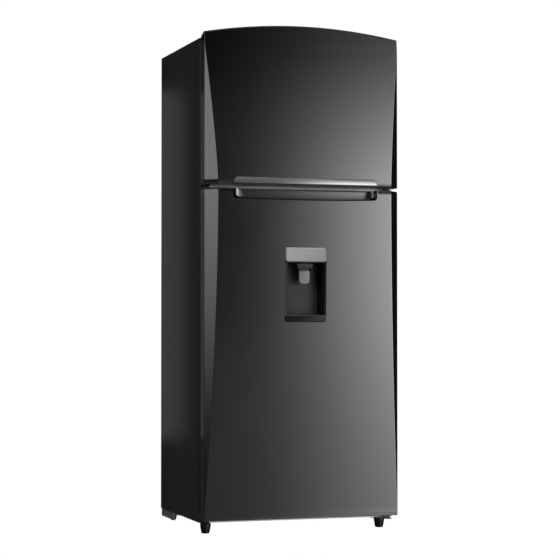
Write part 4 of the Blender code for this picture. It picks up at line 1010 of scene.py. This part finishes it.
def bin_flutes():
    """Upright ribs on the rear wall of every door bin."""
    for node, body in (
        ("freezer_bin_lower", "freezer_door"), ("freezer_bin_upper", "freezer_door"),
        ("fridge_bin", "fridge_door"), ("bottle_bin", "fridge_door"),
    ):
        low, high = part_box(node)
        bm = bmesh.new()
        for i in range(7):
            x = -0.18 + i * 0.06
            shell([
                (x - 0.0011, low.z + 0.012, x + 0.0011, high.z - 0.010, 0.0010, high.y - 0.0002),
                (x - 0.0007, low.z + 0.0126, x + 0.0007, high.z - 0.0106, 0.0006, high.y + 0.0010),
            ], "Y", 3, bm)
        piece(node + "_flutes", bm, "clear_plastic", body)


# ---------------------------------------------------------- carried-over CAD pieces
EDGES = {
    "top_panel": 0.00025, "rear_panel": 0.00025, "base_plate": 0.00030, "centre_rail": 0.0006,
    "freezer_liner": 0.0012, "fridge_liner": 0.0012, "cabinet_foam": 0.0015,
    "top_hinge": 0.0006, "middle_hinge": 0.0006, "bottom_hinge": 0.0006, "top_hinge_cover": 0.0006,
    "freezer_shelf": 0.0007, "fridge_shelf_upper": 0.0007, "fridge_shelf_lower": 0.0007,
    "crisper_cover": 0.0007, "compressor": 0.0020, "rear_cover": 0.0004, "drain_pan": 0.0006,
    "freezer_door_liner": 0.0005, "fridge_door_liner": 0.0005, "crisper_drawer": 0.0006,
}


def dress_frame_nodes():
    """Material, rounded edges and smooth shading for every node that stays in view."""
    for part in frame["record"]["subparts"]:
        obj = NODES[part["node"]]
        obj.data.materials.clear()
        obj.data.materials.append(MATERIALS[part["material_slot"]])
        soften(obj, EDGES.get(part["node"], 0.0004))


# -------------------------------------------------------------------- camera and light
def camera():
    """The photograph's view, from a solve of its outline."""
    data = bpy.data.cameras.new("camera")
    data.lens = 118.93
    data.sensor_width = 36.0
    obj = bpy.data.objects.new("camera", data)
    obj.location = (-2.022, -6.3125, 0.733)
    obj.rotation_euler = (math.radians(90 + 1.22), 0.0, math.radians(-17.83))
    bpy.context.scene.collection.objects.link(obj)
    bpy.context.scene.camera = obj


def floor():
    """Plain pale floor that only the camera sees."""
    bm = bmesh.new()
    bmesh.ops.create_grid(bm, x_segments=1, y_segments=1, size=30.0)
    mesh = bpy.data.meshes.new("floor")
    bm.to_mesh(mesh)
    bm.free()
    obj = bpy.data.objects.new("floor", mesh)
    bpy.context.scene.collection.objects.link(obj)
    paint = bpy.data.materials.new("floor_white")
    paint.use_nodes = True
    g = Graph(paint.node_tree)
    glow = g.add("ShaderNodeEmission", {"Color": (1, 1, 1, 1), "Strength": 1.0})
    g.add("ShaderNodeOutputMaterial", {"Surface": glow.outputs[0]})
    mesh.materials.append(paint)
    for ray in ("diffuse", "glossy", "transmission", "shadow", "volume_scatter"):
        setattr(obj, "visible_" + ray, False)


def studio():
    """Soft room: bright at the front right, weaker at the left and above, dark elsewhere.

    Azimuth is 0 ahead of the doors and grows to the right; both angles are in degrees.
    """
    world = bpy.data.worlds.new("studio")
    bpy.context.scene.world = world
    world.use_nodes = True
    g = Graph(world.node_tree)
    direction = g.add("ShaderNodeTexCoord").outputs["Generated"]
    x, y, z = g.add("ShaderNodeSeparateXYZ", {0: direction}).outputs
    azimuth = g.math("DEGREES", g.math("ARCTAN2", x, g.math("MULTIPLY", y, -1.0)))
    height = g.math("DEGREES", g.math("ARCSINE", z))

    def product(*values):
        result = values[0]
        for value in values[1:]:
            result = g.math("MULTIPLY", result, value)
        return result

    def bell(value, centre, low_width, high_width):
        """1 at the centre, falling off with a different width on each side."""
        off = g.math("SUBTRACT", value, centre)
        widen = product(g.math("GREATER_THAN", off, 0.0), high_width - low_width)
        ratio = g.math("DIVIDE", off, g.math("ADD", widen, low_width))
        return g.math("EXPONENT", product(ratio, ratio, -0.5))
    edge = g.ramp(azimuth, 14.8, 24.1)
    fall = g.math("ADD", product(bell(height, 1.0, 6.5, 500.0), 0.7), 0.3)
    right = product(edge, edge, g.ramp(azimuth, 64.0, 36.0), g.ramp(height, 23.5, 6.0), fall,
                    g.ramp(height, -50.0, -20.0), 3.65)
    left = product(bell(azimuth, -77.0, 16.0, 16.0), g.ramp(height, -5.0, 5.5),
                   g.ramp(height, 40.0, 15.0), 1.05)
    above = product(g.ramp(height, 35.0, 65.0), 3.0)
    front = g.ramp(g.math("ABSOLUTE", azimuth), 95.0, 55.0)
    glow = g.math("ADD", g.ramp(height, 21.0, 13.0, 0.0, 0.036),
                  g.ramp(height, 1.0, -9.0, 0.0, 0.092))
    glow = product(glow, front, g.ramp(height, -60.0, -25.0))
    rear = product(g.ramp(azimuth, -179.0, -158.0, 0.0, 0.035),
                   g.ramp(azimuth, -110.0, -140.0))
    total = g.math("ADD", 0.015, right)
    for part in (left, above, glow, rear):
        total = g.math("ADD", total, part)
    dim = g.add("ShaderNodeBackground", {"Color": (1, 1, 1, 1), "Strength": total})
    white = g.add("ShaderNodeBackground", {"Color": (1, 1, 1, 1), "Strength": 1.0})
    seen = g.add("ShaderNodeLightPath").outputs["Is Camera Ray"]
    mix = g.add("ShaderNodeMixShader", {0: seen, 1: dim.outputs[0], 2: white.outputs[0]})
    g.add("ShaderNodeOutputWorld", {"Surface": mix.outputs[0]})


def lamp(name, place_at, aim, size, power):
    """Soft rectangular light that the camera doesn't see."""
    data = bpy.data.lights.new(name, "AREA")
    data.shape = "RECTANGLE"
    data.size, data.size_y = size
    data.energy = power
    obj = bpy.data.objects.new(name, data)
    obj.location = place_at
    obj.rotation_euler = (Vector(aim) - Vector(place_at)).to_track_quat("-Z", "Y").to_euler()
    obj.visible_camera = False
    bpy.context.scene.collection.objects.link(obj)


# ------------------------------------------------------------------------------- build
camera()
floor()
studio()
lamp("rear_left_panel", (-0.62, 2.5, 1.0), (-0.62, 0.0, 1.0), (1.0, 1.7), 0.52)
dress_frame_nodes()
freezer_door_skin()
freezer_door_crown()
freezer_door_foam()
door_lip("freezer_door_lip", FREEZER_LOW + 0.0002, FREEZER_LOW + LIP, "freezer_door")
handle()
fridge_door_skin()
hand_pocket()
door_lip("fridge_door_lip", FRIDGE_HIGH - LIP, FRIDGE_HIGH - 0.0002, "fridge_door",
         [loose(pocket(POCKET_ROOM, 0.02))])
pocket_lip()
dispenser_niche()
dispenser_back_wall()
dispenser_fascia()
nozzle()
lever()
tray_drawer()
side_sheet("left", -1)
side_sheet("right", 1)
shelf_trims()
rear_screws()
louvres()
inlet_pins()
machine_room()
levelling_foot("left")
levelling_foot("right")
thermostat_marks()
tank_lid_grip()
bin_flutes()
bpy.context.scene.view_settings.view_transform = "Standard"
